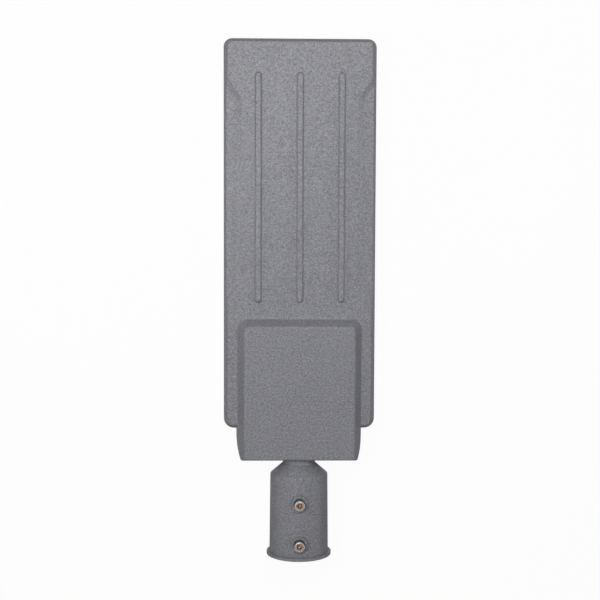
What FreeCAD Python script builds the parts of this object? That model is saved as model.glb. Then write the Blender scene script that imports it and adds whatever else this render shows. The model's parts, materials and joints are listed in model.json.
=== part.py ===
"""LED street light head: die-cast housing with a raised driver box, a clamped pole socket,
an LED board behind a one-piece lens plate, and the driver compartment with its inner pieces.

Frame: millimetres, origin at the centre of the pole socket's mouth, +Y towards the lamp's far
end, +X to the right seen from above, +Z up, so the lenses face -Z.
"""
import FreeCAD, Part
import math
import os
import re

import Sketcher

V = FreeCAD.Vector
doc = FreeCAD.newDocument("street_light_head")

# Driving dimensions: name, value in millimetres (or degrees, or a count), meaning
SIZES = [
    ("overall_length", 619.5, "socket mouth to the far end of the panel"),
    ("panel_start", 153.3, "socket mouth to the near edge of the panel"),
    ("panel_width", 182, "panel across its skirt"),
    ("panel_top", 9, "panel's upper face above the socket axis"),
    ("panel_depth", 20, "panel's upper face to the skirt's lower edge"),
    ("wall_height", 12, "height of the drafted outer wall"),
    ("wall_lean", 4.9, "lean of the outer wall over its height"),
    ("far_corner", 10, "corner radius at the far end"),
    ("near_corner", 12, "corner radius at the near end"),
    ("panel_round", 1.5, "rounding of the panel's upper edge"),
    ("shelf_ridge", 140, "flat field across, between the two side shelves"),
    ("shelf_depth", 4, "side shelves below the panel's upper face"),
    ("shelf_draft", 53, "degrees that the step to a shelf leans"),
    ("shelf_near", 327, "start of a shelf along its inner edge"),
    ("shelf_far", 548.8, "end of a shelf along its inner edge"),
    ("shelf_splay_near", 25, "lengthwise spread of a shelf's near end"),
    ("shelf_splay_far", 30, "lengthwise spread of a shelf's far end"),
    ("rib_pitch", 49.5, "centre rib to either side rib"),
    ("rib_width", 8.8, "rib across its foot"),
    ("rib_height", 3.5, "rib above the panel"),
    ("rib_draft", 26.6, "degrees that a rib's flanks lean"),
    ("rib_near", 305.7, "near end of the ribs"),
    ("rib_far", 578.7, "far end of the ribs"),
    ("box_start", 119.1, "socket mouth to the driver box's end wall at its top"),
    ("box_end_lean", 3.8, "lean of the end wall between its top and its foot"),
    ("neck_seat_play", 0.4, "radial gap of the socket's neck in its seat in the end wall"),
    ("box_far", 286.3, "far foot of the driver box on the panel"),
    ("box_top", 27, "driver box's upper face above the socket axis"),
    ("box_top_width", 131, "driver box across its upper face"),
    ("box_foot_width", 148.4, "driver box across its foot on the panel"),
    ("box_rim_width", 153, "driver box across its lower rim"),
    ("box_far_lean", 8, "lean of the far wall over its height"),
    ("box_rim_far", 288.4, "far end of the lower rim"),
    ("box_rim_drop", 18.5, "lower rim below the socket axis"),
    ("box_far_corner", 7, "corner radius at the box's far end"),
    ("box_near_corner", 3.5, "corner radius at the box's end wall"),
    ("box_round", 1.6, "rounding of the box's upper edge"),
    ("stern_length", 17, "length over which the box draws in at its end wall"),
    ("stern_inset", 3.8, "draw-in of the foot and rim at the end wall"),
    ("stern_inset_top", 0.5, "draw-in of the upper face at the end wall"),
    ("stern_round", 110, "radius that blends the draw-in into the side"),
    ("wall", 3.4, "casting's wall thickness"),
    ("end_wall", 4, "end wall thickness at the pole socket"),
    ("box_roof", 3, "roof over the driver compartment"),
    ("rim_land", 5.5, "width of the lower rim"),
    ("compartment_corner", 5, "inner corner radius of the driver compartment"),
    ("lens_bay_start", 298, "near end of the bay for the lens plate"),
    ("lens_bay_wall", 5.5, "wall between the lens bay and the outside"),
    ("lens_bay_corner", 8, "corner radius of the lens bay"),
    ("lens_land", 9, "panel's upper face down to the land for the lens gasket"),
    ("board_bay_width", 136, "recess for the LED board, across"),
    ("board_bay_inset", 12, "recess for the LED board, in from the lens bay's ends"),
    ("board_bay_depth", 3, "recess for the LED board above the land"),
    ("side_core_inner", 159, "cored-out side pockets, between their inner walls"),
    ("side_core_ends", 6, "side pockets, in from the panel's near edge and the lens bay"),
    ("side_core_floor", 4, "metal left above the side pockets"),
    ("side_core_corner", 2.5, "corner radius of the side pockets"),
    ("pole_diameter", 60, "spigot that the socket takes"),
    ("pole_clearance", 1, "gap all round the spigot"),
    ("bore_depth", 90, "depth of the socket's bore"),
    ("bore_stop", 4, "ledge that stops the spigot"),
    ("socket_mouth_radius", 35.6, "socket's outer radius next to the lip"),
    ("socket_far_radius", 34.65, "socket's outer radius at the shoulder"),
    ("socket_shoulder", 98.7, "mouth to the shoulder"),
    ("shoulder_round", 3, "rounding of the shoulder"),
    ("lip_radius", 39.1, "outer radius of the lip"),
    ("lip_length", 3.5, "length of the lip"),
    ("lip_flare", 1.2, "length over which the lip flares out"),
    ("lip_back_round", 1.6, "rounding of the lip's back edge"),
    ("lip_mouth_round", 0.4, "rounding of the lip's edge at the mouth"),
    ("neck_start", 111.9, "mouth to the start of the neck"),
    ("neck_radius", 19.5, "outer radius of the neck"),
    ("passage_radius", 8, "cable passage through the neck"),
    ("funnel_end", 104, "mouth to the end of the inner funnel"),
    ("gasket_gap", 1.6, "thickness of the gasket behind the neck"),
    ("boss_radius", 10, "clamp screw boss"),
    ("boss_rise", 3, "clamp screw boss above the socket's crest"),
    ("boss_round", 1.2, "rounding of the boss's edge"),
    ("clamp_first", 20, "mouth to the first clamp screw"),
    ("clamp_pitch", 49, "first to second clamp screw"),
    ("clamp_radius", 6, "clamp screw's thread radius"),
    ("clamp_length", 16, "clamp screw's length"),
    ("clamp_hex", 6, "hexagon socket across flats"),
    ("clamp_hex_depth", 6.5, "depth of the hexagon socket"),
    ("clamp_standoff", 0.2, "screw tip outside the bore"),
    ("clamp_chamfer", 0.9, "chamfer on the clamp screw's ends"),
    ("thread_play", 0.05, "radial gap in threaded and push-through holes"),
    ("bolt_circle", 31, "circle of the neck's four bolts"),
    ("bolt_radius", 2.5, "neck bolt's radius"),
    ("bolt_length", 20, "neck bolt's length under its head"),
    ("bolt_head_radius", 4.25, "neck bolt's head radius"),
    ("bolt_head_height", 5, "neck bolt's head height"),
    ("bolt_hole_depth", 15, "depth of the neck's bolt holes"),
    ("bolt_hole_play", 0.25, "radial gap of the bolts in the end wall"),
    ("board_width", 133, "LED board across"),
    ("board_start_gap", 7, "recess end to the LED board's near edge"),
    ("board_end_gap", 4, "LED board's far edge to the recess end"),
    ("board_thickness", 1.6, "LED board"),
    ("led_columns", 4, "LEDs across"),
    ("led_rows", 12, "LEDs along"),
    ("led_pitch_across", 30, "LED pitch across"),
    ("led_pitch_along", 23, "LED pitch along"),
    ("led_side", 3.5, "LED package side"),
    ("led_height", 0.7, "LED package height"),
    ("led_middle", 456, "middle of the LED field along the lamp"),
    ("board_screw_across", 120, "board screws across"),
    ("board_screw_pitch", 130, "board screws along"),
    ("connector_length", 10, "board connector along"),
    ("connector_width", 9, "board connector across"),
    ("connector_height", 2.2, "board connector above the board"),
    ("connector_inset", 2, "board edge to the connector"),
    ("lens_gap", 0.8, "play of the lens plate in its bay"),
    ("lens_gasket_thickness", 1.2, "lens gasket as clamped"),
    ("lens_gasket_outer", 151, "lens gasket across its outer edge"),
    ("lens_gasket_width", 5, "width of the lens gasket"),
    ("lens_gasket_end", 5, "lens bay's end to the lens gasket"),
    ("lens_thickness", 3, "lens plate"),
    ("dome_height", 5.4, "lens dome below the plate"),
    ("dome_length", 23, "lens dome across the lamp"),
    ("dome_width", 17, "lens dome along the lamp"),
    ("dome_shoulder", 3, "height of the dome's steep part"),
    ("dome_step", 1.6, "inset of the dome at its shoulder"),
    ("dome_crown", 5, "inset of the dome at its crown"),
    ("lens_screw_across", 161, "lens screws across"),
    ("lens_screw_rows", 6, "lens screws along each side"),
    ("lens_screw_end", 9, "lens bay's end to the first lens screw"),
    ("screw_radius", 2, "M4 screw's radius"),
    ("screw_head_radius", 3.8, "M4 pan head's radius"),
    ("screw_head_height", 2.4, "M4 pan head's height"),
    ("screw_hole_play", 0.3, "radial gap of M4 screws in plates"),
    ("small_screw_radius", 1.5, "M3 screw's radius"),
    ("small_head_radius", 2.75, "M3 pan head's radius"),
    ("small_head_height", 1.8, "M3 pan head's height"),
    ("key_share", 0.55, "screw keys, share of the head's radius"),
    ("key_depth_share", 0.6, "screw keys, share of the head's height"),
    ("head_foot_share", 0.8, "foot of a screw head, share of its radius"),
    ("lens_screw_length", 8, "lens screw under its head"),
    ("board_screw_length", 5, "board screw under its head"),
    ("cover_screw_length", 12, "cover screw under its head"),
    ("cover_gasket_thickness", 1.5, "cover gasket as clamped"),
    ("cover_thickness", 3, "driver cover"),
    ("cover_margin", 0.6, "cover's edge in from the rim's edge"),
    ("cover_field_margin", 17, "raised field in from the cover's sides"),
    ("cover_field_height", 1.2, "raised field below the cover"),
    ("cover_field_draft", 45, "degrees that the field's edge leans"),
    ("cover_field_corner", 8, "corner radius of the raised field"),
    ("cover_screw_across", 133, "cover screws across"),
    ("cover_screw_first", 130, "mouth to the first cover screws"),
    ("cover_screw_pitch", 73.5, "cover screws along"),
    ("cover_boss_radius", 5, "bosses for the cover screws"),
    ("cover_boss_height", 22.5, "height of the cover screws' bosses"),
    ("cover_hole_depth", 12, "depth of the cover screws' holes"),
    ("seat_drop", 5, "inner bosses below the roof"),
    ("seat_radius", 4.5, "inner bosses for the driver and its neighbours"),
    ("seat_hole_depth", 6, "depth of the inner bosses' holes"),
    ("vent_x", 40, "vent plug from the middle"),
    ("vent_y", 158, "mouth to the vent plug"),
    ("vent_radius", 6, "vent plug's thread radius"),
    ("vent_head_radius", 8.5, "vent plug's head radius"),
    ("vent_head_height", 4, "vent plug's head height"),
    ("vent_head_draft", 12, "degrees that the vent plug's head leans"),
    ("vent_washer_thickness", 1, "vent plug's washer"),
    ("vent_thread_length", 9, "vent plug's thread length"),
    ("vent_nut_height", 3.5, "vent plug's nut"),
    ("vent_nut_flats", 17, "vent plug's nut across its flats"),
    ("driver_start", 212, "mouth to the driver"),
    ("driver_width", 60, "driver along the lamp"),
    ("driver_length", 102, "driver across, without its ears"),
    ("driver_ear", 11, "driver ear across"),
    ("driver_ear_width", 50, "driver ears along the lamp"),
    ("ear_thickness", 3, "ears of the driver and surge protector"),
    ("driver_drop", 26, "driver below its upper face"),
    ("driver_roof_gap", 0.5, "gap between the driver and the roof"),
    ("driver_corner", 3, "driver's corner radius"),
    ("driver_screw_across", 113, "driver screws across"),
    ("driver_screw_along", 38, "driver screws along"),
    ("seat_screw_length", 8, "driver screw under its head"),
    ("surge_x", -42, "surge protector from the middle"),
    ("surge_y", 164, "mouth to the surge protector"),
    ("surge_width", 36, "surge protector across"),
    ("surge_length", 46, "surge protector along"),
    ("surge_drop", 18, "surge protector below its ears"),
    ("surge_corner", 4, "surge protector's corner radius"),
    ("surge_screw_pitch", 56, "surge protector's screws along"),
    ("surge_ear_width", 10, "surge protector's ears across"),
    ("terminal_x", 34, "terminal block from the middle"),
    ("terminal_y", 164, "mouth to the terminal block"),
    ("terminal_width", 33, "terminal block across"),
    ("terminal_depth", 20, "terminal block along"),
    ("terminal_height", 15, "terminal block's height"),
    ("terminal_pole_pitch", 10, "pitch of the poles"),
    ("terminal_screw_pitch", 10, "terminal block's mounting screws"),
    ("terminal_wire_radius", 2, "wire entries of the terminal block"),
    ("terminal_well_radius", 2.6, "screw wells of the terminal block"),
    ("terminal_well_depth", 6, "depth of the screw wells"),
    ("terminal_wire_depth", 4, "depth of the wire entries"),
    ("gland_hex", 19, "cable gland across its flats"),
    ("gland_body_length", 5, "gland's hexagon along the axis"),
    ("gland_nut_length", 16, "gland's dome nut along the axis"),
    ("gland_nut_radius", 9.4, "gland nut's radius at its foot"),
    ("gland_nut_end_radius", 7, "gland nut's radius at its end"),
    ("gland_bore_radius", 5.6, "gland's bore"),
    ("gland_nut_round", 1.4, "rounding of the gland nut's end"),
    ("gland_insert_radius", 3.6, "hole of the rubber insert"),
    ("earth_x", 2, "earth screw from the middle"),
    ("earth_y", 186, "mouth to the earth screw"),
    ("lug_radius", 4.4, "earth lug's ring"),
    ("lug_thickness", 1, "earth lug's sheet"),
    ("terminal_screw_grip", 19.5, "terminal screw under its head"),
    ("lug_barrel_start", 6, "earth screw to the lug's barrel"),
    ("lug_barrel_length", 6, "lug's barrel"),
    ("lug_barrel_wall", 0.6, "wall of the lug's barrel"),
    ("earth_lead_radius", 1.4, "earth lead"),
    ("earth_bend", 8, "earth lead's bend"),
    ("supply_lead_radius", 2.5, "supply lead to the driver"),
    ("supply_entry_drop", 8, "supply lead below the terminal block's foot"),
    ("supply_exit_back", 30, "driver's near side to the supply lead's exit"),
    ("supply_turn", 9, "driver's end to the supply lead's run"),
    ("supply_approach", 24, "terminal block to the supply lead's cross run"),
    ("supply_bend", 8, "supply lead's bend at the driver"),
    ("supply_cross_bend", 7.5, "supply lead's bends on its cross run"),
    ("surge_lead_radius", 2, "surge lead"),
    ("surge_lead_drop", 5, "surge lead below the inner bosses"),
    ("surge_lead_forward", 6, "surge lead ahead of the terminal block's middle"),
    ("surge_lead_straight", 8, "surge lead's straight ends"),
    ("surge_lead_bow", 4, "surge lead's bow"),
    ("surge_bend", 12, "surge lead's bends"),
    ("led_lead_radius", 1.1, "lead to the LED board"),
    ("led_lead_rise", 3, "LED lead above the socket axis"),
    ("led_lead_play", 0.9, "radial gap of the LED lead in its bore"),
    ("led_exit_back", 35, "driver's near side to the LED lead's exit"),
    ("led_turn", 9, "driver's end to the LED lead's run"),
    ("led_cross_gap", 3.6, "driver to the LED lead's cross run"),
    ("led_bend", 7, "LED lead's bends at the driver"),
    ("led_drop_bend", 5, "LED lead's bends down to the board"),
    ("led_drop_clearance", 1, "recess end and board edge to the LED lead's drop"),
    ("grommet_radius", 4, "grommet where the LED lead leaves the compartment"),
    ("grommet_depth", 5, "grommet's depth in the wall"),
    ("grommet_lip", 1.2, "grommet's lip inside the compartment"),
    ("lead_play", 0.05, "gap between a lead and the piece it enters"),
]

sheet = doc.addObject("Spreadsheet::Sheet", "sizes")
for row, (alias, number, meaning) in enumerate(SIZES, start=1):
    sheet.set(f"A{row}", meaning)
    sheet.set(f"B{row}", str(number))
    sheet.setAlias(f"B{row}", alias)
doc.recompute()

WORD = re.compile(r"[a-z]+(?:_[a-z]+)*")
SIZE_NAMES = {alias for alias, number, meaning in SIZES}


def formula(text):
    """Expression in which each named size points at the spreadsheet."""
    def pointed(word):
        name = word.group()
        return "sizes." + name if name in SIZE_NAMES else name
    return WORD.sub(pointed, text)


def value(text):
    """Number that a formula over the named sizes gives now."""
    return float(sheet.evalExpression(formula(text)))


def bind(target, prop, text):
    """Tie one property of an object to a formula over the named sizes."""
    target.setExpression(prop, formula(text))


def origin_feature(body, role):
    """Plane or axis of a body's own origin."""
    return next(feature for feature in body.Origin.OriginFeatures if feature.Role == role)


def new_body(label):
    """Empty body, whose label names the sub-part."""
    body = doc.addObject("PartDesign::Body", label)
    body.AllowCompound = True
    return body


def new_sketch(body, name, role="XY_Plane", level="0"):
    """Sketch on a plane of the body's origin, shifted along its normal by a formula."""
    sketch = body.newObject("Sketcher::SketchObject", name)
    sketch.AttachmentSupport = [(origin_feature(body, role), "")]
    sketch.MapMode = "FlatFace"
    bind(sketch, ".AttachmentOffset.Base.z", level)
    return sketch


def constrain(sketch, kind, *where, formula_text):
    """Dimension in a sketch whose value is a formula."""
    index = sketch.addConstraint(Sketcher.Constraint(kind, *where, value(formula_text)))
    bind(sketch, f"Constraints[{index}]", formula_text)


def place_point(sketch, element, position, across, along):
    """Two dimensions from the sketch's origin to a point of an element."""
    constrain(sketch, "DistanceX", -1, 1, element, position, formula_text=across)
    constrain(sketch, "DistanceY", -1, 1, element, position, formula_text=along)


def circle(sketch, across, along, radius):
    """Full circle with a formula for its centre's two coordinates and its radius."""
    centre = V(value(across), value(along), 0)
    element = sketch.addGeometry(Part.Circle(centre, V(0, 0, 1), value(radius)), False)
    place_point(sketch, element, 3, across, along)
    constrain(sketch, "Radius", element, formula_text=radius)


def corner_arc(before, corner, after, radius):
    """Arc that rounds a corner, with the points where it leaves the two sides."""
    way_in = (corner - before).normalize()
    way_out = (after - corner).normalize()
    turn = math.atan2(way_in.x * way_out.y - way_in.y * way_out.x, way_in.dot(way_out))
    reach = radius * math.tan(abs(turn) / 2)
    start = corner - way_in * reach
    end = corner + way_out * reach
    side = 1 if turn > 0 else -1
    centre = start + V(-way_in.y, way_in.x, 0) * radius * side
    first, last = (start, end) if side > 0 else (end, start)
    angles = [math.atan2(point.y - centre.y, point.x - centre.x) for point in (first, last)]
    arc = Part.ArcOfCircle(Part.Circle(centre, V(0, 0, 1), radius), angles[0], angles[1])
    return arc, start, end, side


def outline(sketch, corners):
    """Closed outline through corners (across, along, radius), each a formula, radius None if sharp.

    The corners go round anticlockwise, or clockwise where the outline is drawn that way.
    """
    points = [V(value(across), value(along), 0) for across, along, radius in corners]
    count = len(points)
    rounds = []
    for index, (across, along, radius) in enumerate(corners):
        if radius is None:
            rounds.append(None)
            continue
        before, after = points[index - 1], points[(index + 1) % count]
        rounds.append(corner_arc(before, points[index], after, value(radius)))
    sides = []
    for index in range(count):
        following = (index + 1) % count
        start = rounds[index][2] if rounds[index] else points[index]
        end = rounds[following][1] if rounds[following] else points[following]
        sides.append(sketch.addGeometry(Part.LineSegment(start, end), False))
    for index, (across, along, radius) in enumerate(corners):
        side_in, side_out = sides[index - 1], sides[index]
        if radius is None:
            sketch.addConstraint(Sketcher.Constraint("Coincident", side_in, 2, side_out, 1))
            place_point(sketch, side_out, 1, across, along)
            continue
        arc_shape, start, end, side = rounds[index]
        arc = sketch.addGeometry(arc_shape, False)
        arc_in, arc_out = (1, 2) if side > 0 else (2, 1)
        sketch.addConstraint(Sketcher.Constraint("Tangent", side_in, 2, arc, arc_in))
        sketch.addConstraint(Sketcher.Constraint("Tangent", arc, arc_out, side_out, 1))
        constrain(sketch, "Radius", arc, formula_text=radius)
        corner = sketch.addGeometry(Part.Point(points[index]), True)
        sketch.addConstraint(Sketcher.Constraint("PointOnObject", corner, 1, side_in))
        sketch.addConstraint(Sketcher.Constraint("PointOnObject", corner, 1, side_out))
        place_point(sketch, corner, 1, across, along)


def rectangle(sketch, left, right, near, far, near_radius, far_radius):
    """Upright rectangle with its own radius at the near and at the far corners."""
    outline(sketch, [
        (left, near, near_radius),
        (right, near, near_radius),
        (right, far, far_radius),
        (left, far, far_radius),
    ])


def settle(body, feature, grows):
    """Recompute, and stop if the feature failed or changed the volume the wrong way."""
    before = body.Shape.Volume if not body.Shape.isNull() else 0.0
    body.Tip = feature
    doc.recompute()
    if "Invalid" in feature.State or "Error" in feature.State or feature.Shape.isNull():
        raise RuntimeError(f"{body.Label}: {feature.Label} failed")
    change = body.Shape.Volume - before
    if grows is not None and (change > 0) != grows:
        raise RuntimeError(f"{body.Label}: {feature.Label} changed the volume by {change:.2f}")
    return feature


def pad(body, sketch, name, length, lean=None, down=False):
    """Pad of a sketch, along its normal or against it, with sides that lean in by degrees."""
    feature = body.newObject("PartDesign::Pad", name)
    feature.Profile = sketch
    bind(feature, "Length", length)
    feature.Reversed = down
    if lean:
        bind(feature, "TaperAngle", "-" + lean)
    return settle(body, feature, True)


def pocket(body, sketch, name, length, lean=None, up=False):
    """Pocket of a sketch, against its normal or along it, with sides that lean in by degrees."""
    feature = body.newObject("PartDesign::Pocket", name)
    feature.Profile = sketch
    bind(feature, "Length", length)
    feature.Reversed = up
    if lean:
        bind(feature, "TaperAngle", "-" + lean)
    return settle(body, feature, False)


def turned(body, sketch, name, cut=False):
    """Full turn of a profile about the sketch's upright axis, added or cut away."""
    kind = "PartDesign::Groove" if cut else "PartDesign::Revolution"
    feature = body.newObject(kind, name)
    feature.Profile = sketch
    feature.ReferenceAxis = (sketch, ["V_Axis"])
    feature.Angle = 360
    return settle(body, feature, not cut)


def loft(body, sections, name, cut=False):
    """Ruled loft through sketches of the same make, added or cut away."""
    feature = body.newObject("PartDesign::SubtractiveLoft" if cut else "PartDesign::AdditiveLoft", name)
    feature.Profile = sections[0]
    feature.Sections = sections[1:]
    feature.Ruled = True
    return settle(body, feature, not cut)


def grid(body, feature, name, grows, across=None, along=None):
    """Copies of a feature in rows: across and along are (count, pitch) formulas."""
    transform = body.newObject("PartDesign::MultiTransform", name)
    transform.Originals = [feature]
    steps = []
    for role, rule in (("X_Axis", across), ("Y_Axis", along)):
        if rule is None:
            continue
        step = body.newObject("PartDesign::LinearPattern", f"{name}_{role[0]}")
        step.Direction = (origin_feature(body, role), [""])
        step.Mode = "Spacing"
        bind(step, "Occurrences", rule[0])
        bind(step, "Offset", rule[1])
        steps.append(step)
    transform.Transformations = steps
    return settle(body, transform, grows)


def mirrored(body, features, name, grows, role="YZ_Plane"):
    """Copies of features on the other side of an origin plane."""
    feature = body.newObject("PartDesign::Mirrored", name)
    feature.Originals = features
    feature.MirrorPlane = (origin_feature(body, role), [""])
    return settle(body, feature, grows)


def rounded(body, name, radius, chosen):
    """Fillet on the edges for which a test on the edge holds."""
    base = body.Tip
    names = [f"Edge{number}" for number, edge in enumerate(base.Shape.Edges, start=1) if chosen(edge)]
    feature = body.newObject("PartDesign::Fillet", name)
    feature.Base = (base, names)
    bind(feature, "Radius", radius)
    return settle(body, feature, None)


def at_level(edge, level):
    """True if the whole edge lies at a height."""
    box = edge.BoundBox
    return abs(box.ZMin - level) < 0.01 and abs(box.ZMax - level) < 0.01


# Levels and places that several pieces share
SKIRT_LEVEL = "(panel_top - panel_depth)"
LAND_LEVEL = "(panel_top - lens_land)"
BOARD_SEAT_LEVEL = "(panel_top - lens_land + board_bay_depth)"
BOARD_FACE_LEVEL = "(panel_top - lens_land + board_bay_depth - board_thickness)"
PLATE_BACK_LEVEL = "(panel_top - lens_land - lens_gasket_thickness)"
PLATE_FACE_LEVEL = "(panel_top - lens_land - lens_gasket_thickness - lens_thickness)"
ROOF_LEVEL = "(box_top - box_roof)"
SEAT_LEVEL = "(box_top - box_roof - seat_drop)"
COVER_BACK_LEVEL = "(-box_rim_drop - cover_gasket_thickness)"
COVER_FACE_LEVEL = "(-box_rim_drop - cover_gasket_thickness - cover_thickness)"
LENS_BAY_END = "(overall_length - lens_bay_wall)"
BOARD_START = "(lens_bay_start + board_bay_inset + board_start_gap)"
BOARD_END = "(overall_length - lens_bay_wall - board_bay_inset - board_end_gap)"
NECK_FACE = "(box_start - gasket_gap)"
BOX_LEAN = "((box_foot_width - box_top_width) / 2 / (box_top - panel_top))"
FAR_LEAN = "(box_far_lean / (box_top - panel_top))"
FIRST_LED_ACROSS = "(-led_pitch_across * (led_columns - 1) / 2)"
FIRST_LED_ALONG = "(led_middle - led_pitch_along * (led_rows - 1) / 2)"
LENS_SCREW_FIRST = "(lens_bay_start + lens_screw_end)"
LENS_BAY_LENGTH = "(overall_length - lens_bay_wall - lens_bay_start)"
LENS_SCREW_PITCH = f"(({LENS_BAY_LENGTH} - 2 * lens_screw_end) / (lens_screw_rows - 1))"
BOLT_OFFSET = "(bolt_circle * sqrt(2) / 4)"
COVER_SCREW_ROWS = {"across": ("2", "cover_screw_across"), "along": ("3", "cover_screw_pitch")}
LENS_SCREW_ROWS = {"across": ("2", "lens_screw_across"), "along": ("lens_screw_rows", LENS_SCREW_PITCH)}
BOARD_SCREW_ROWS = {"across": ("2", "board_screw_across"), "along": ("3", "board_screw_pitch")}
LED_ROWS = {"across": ("led_columns", "led_pitch_across"), "along": ("led_rows", "led_pitch_along")}
LENS_SCREW_REACH = "(lens_screw_length - lens_thickness - lens_gasket_thickness)"
BOARD_SCREW_FIRST = "(led_middle - board_screw_pitch)"
SHELF_SPREAD = "(2 * panel_width - shelf_ridge) / (panel_width - shelf_ridge)"
DRIVER_MIDDLE = "(driver_start + driver_width / 2)"


def stern_outline(sketch, half_width, inset, far, near_radius, far_radius, near):
    """Plan of the driver box at one level: straight sides that draw in at the end wall."""
    stern = f"{near} + stern_length"
    near_half = f"{half_width} - {inset}"
    outline(sketch, [
        (f"-({near_half})", near, near_radius),
        (near_half, near, near_radius),
        (half_width, stern, "stern_round"),
        (half_width, far, far_radius),
        (f"-({half_width})", far, far_radius),
        (f"-({half_width})", stern, "stern_round"),
    ])


# Housing: drafted panel, side shelves, ribs and driver box, hollow from below
housing = new_body("housing")

skirt = new_sketch(housing, "skirt_plan", level="panel_top - wall_height")
rectangle(skirt, "-panel_width / 2", "panel_width / 2", "panel_start", "overall_length",
          "near_corner", "far_corner")
pad(housing, skirt, "skirt", "panel_depth - wall_height", down=True)
wall_foot = new_sketch(housing, "wall_foot_plan", level="panel_top - wall_height")
rectangle(wall_foot, "-panel_width / 2", "panel_width / 2", "panel_start", "overall_length",
          "near_corner", "far_corner")
wall_crown = new_sketch(housing, "wall_crown_plan", level="panel_top")
rectangle(wall_crown, "-panel_width / 2 + wall_lean", "panel_width / 2 - wall_lean",
          "panel_start + wall_lean", "overall_length - wall_lean",
          "near_corner - wall_lean", "far_corner - wall_lean")
loft(housing, [wall_foot, wall_crown], "drafted_wall")
panel_top_edges = value("panel_top")
rounded(housing, "panel_edge", "panel_round", lambda edge: at_level(edge, panel_top_edges))

shelf_plan = new_sketch(housing, "shelf_plan", level="panel_top")
outline(shelf_plan, [
    ("shelf_ridge / 2", "shelf_near", None),
    ("panel_width", f"shelf_near - shelf_splay_near * {SHELF_SPREAD}", None),
    ("panel_width", f"shelf_far + shelf_splay_far * {SHELF_SPREAD}", None),
    ("shelf_ridge / 2", "shelf_far", None),
])
shelf = pocket(housing, shelf_plan, "side_shelf", "shelf_depth", lean="shelf_draft")
mirrored(housing, [shelf], "side_shelves", False)

rib_plan = new_sketch(housing, "rib_plan", level="panel_top")
rectangle(rib_plan, "-rib_pitch - rib_width / 2", "-rib_pitch + rib_width / 2", "rib_near", "rib_far",
          "rib_width * 0.499", "rib_width * 0.499")
rib = pad(housing, rib_plan, "rib", "rib_height", lean="rib_draft")
grid(housing, rib, "ribs", True, across=("3", "rib_pitch"))

box_rim = new_sketch(housing, "box_rim_plan", level="-box_rim_drop")
stern_outline(box_rim, "box_rim_width / 2", "stern_inset", "box_rim_far",
              "box_near_corner", "box_far_corner", near="(box_start - box_end_lean)")
box_foot = new_sketch(housing, "box_foot_plan", level="panel_top")
stern_outline(box_foot, "box_foot_width / 2", "stern_inset", "box_far",
              "box_near_corner", "box_far_corner", near="(box_start - box_end_lean)")
box_crown = new_sketch(housing, "box_crown_plan", level="box_top")
stern_outline(box_crown, "box_top_width / 2", "stern_inset_top", "box_far - box_far_lean",
              "box_near_corner", "box_far_corner", near="box_start")
loft(housing, [box_rim, box_foot, box_crown], "driver_box")
box_top_edges = value("box_top")
rounded(housing, "box_edge", "box_round", lambda edge: at_level(edge, box_top_edges))

bay_rim = new_sketch(housing, "compartment_rim_plan", level="-box_rim_drop")
stern_outline(bay_rim, "box_rim_width / 2 - rim_land", "stern_inset", "box_rim_far - rim_land",
              "compartment_corner", "compartment_corner", near="(box_start + end_wall)")
bay_middle = new_sketch(housing, "compartment_middle_plan", level="panel_top")
stern_outline(bay_middle, "box_foot_width / 2 - wall", "stern_inset", "box_far - wall",
              "compartment_corner", "compartment_corner", near="(box_start + end_wall)")
bay_roof = new_sketch(housing, "compartment_roof_plan", level=ROOF_LEVEL)
stern_outline(bay_roof, f"box_top_width / 2 + box_roof * {BOX_LEAN} - wall", "stern_inset_top",
              f"box_far - box_far_lean + box_roof * {FAR_LEAN} - wall",
              "compartment_corner", "compartment_corner", near="(box_start + end_wall)")
loft(housing, [bay_rim, bay_middle, bay_roof], "driver_compartment", cut=True)

lens_bay = new_sketch(housing, "lens_bay_plan", level=SKIRT_LEVEL)
rectangle(lens_bay, "-panel_width / 2 + lens_bay_wall", "panel_width / 2 - lens_bay_wall",
          "lens_bay_start", LENS_BAY_END, "lens_bay_corner", "lens_bay_corner")
pocket(housing, lens_bay, "lens_bay", "panel_depth - lens_land", up=True)
board_bay = new_sketch(housing, "board_bay_plan", level=LAND_LEVEL)
rectangle(board_bay, "-board_bay_width / 2", "board_bay_width / 2", "lens_bay_start + board_bay_inset",
          f"{LENS_BAY_END} - board_bay_inset", "compartment_corner", "compartment_corner")
pocket(housing, board_bay, "board_bay", "board_bay_depth", up=True)
side_core = new_sketch(housing, "side_core_plan", level=SKIRT_LEVEL)
rectangle(side_core, "side_core_inner / 2", "panel_width / 2 - lens_bay_wall",
          "panel_start + near_corner + side_core_ends", "lens_bay_start - side_core_ends",
          "side_core_corner", "side_core_corner")
core = pocket(housing, side_core, "side_core", "panel_depth - side_core_floor - shelf_depth", up=True)
mirrored(housing, [core], "side_cores", False)

cover_bosses = new_sketch(housing, "cover_boss_plan", level="-box_rim_drop")
circle(cover_bosses, "-cover_screw_across / 2", "cover_screw_first", "cover_boss_radius")
boss = pad(housing, cover_bosses, "cover_boss", "cover_boss_height")
grid(housing, boss, "cover_bosses", True, **COVER_SCREW_ROWS)
cover_holes = new_sketch(housing, "cover_hole_plan", level="-box_rim_drop")
circle(cover_holes, "-cover_screw_across / 2", "cover_screw_first", "screw_radius + thread_play")
hole = pocket(housing, cover_holes, "cover_hole", "cover_hole_depth", up=True)
grid(housing, hole, "cover_holes", False, **COVER_SCREW_ROWS)

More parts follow.
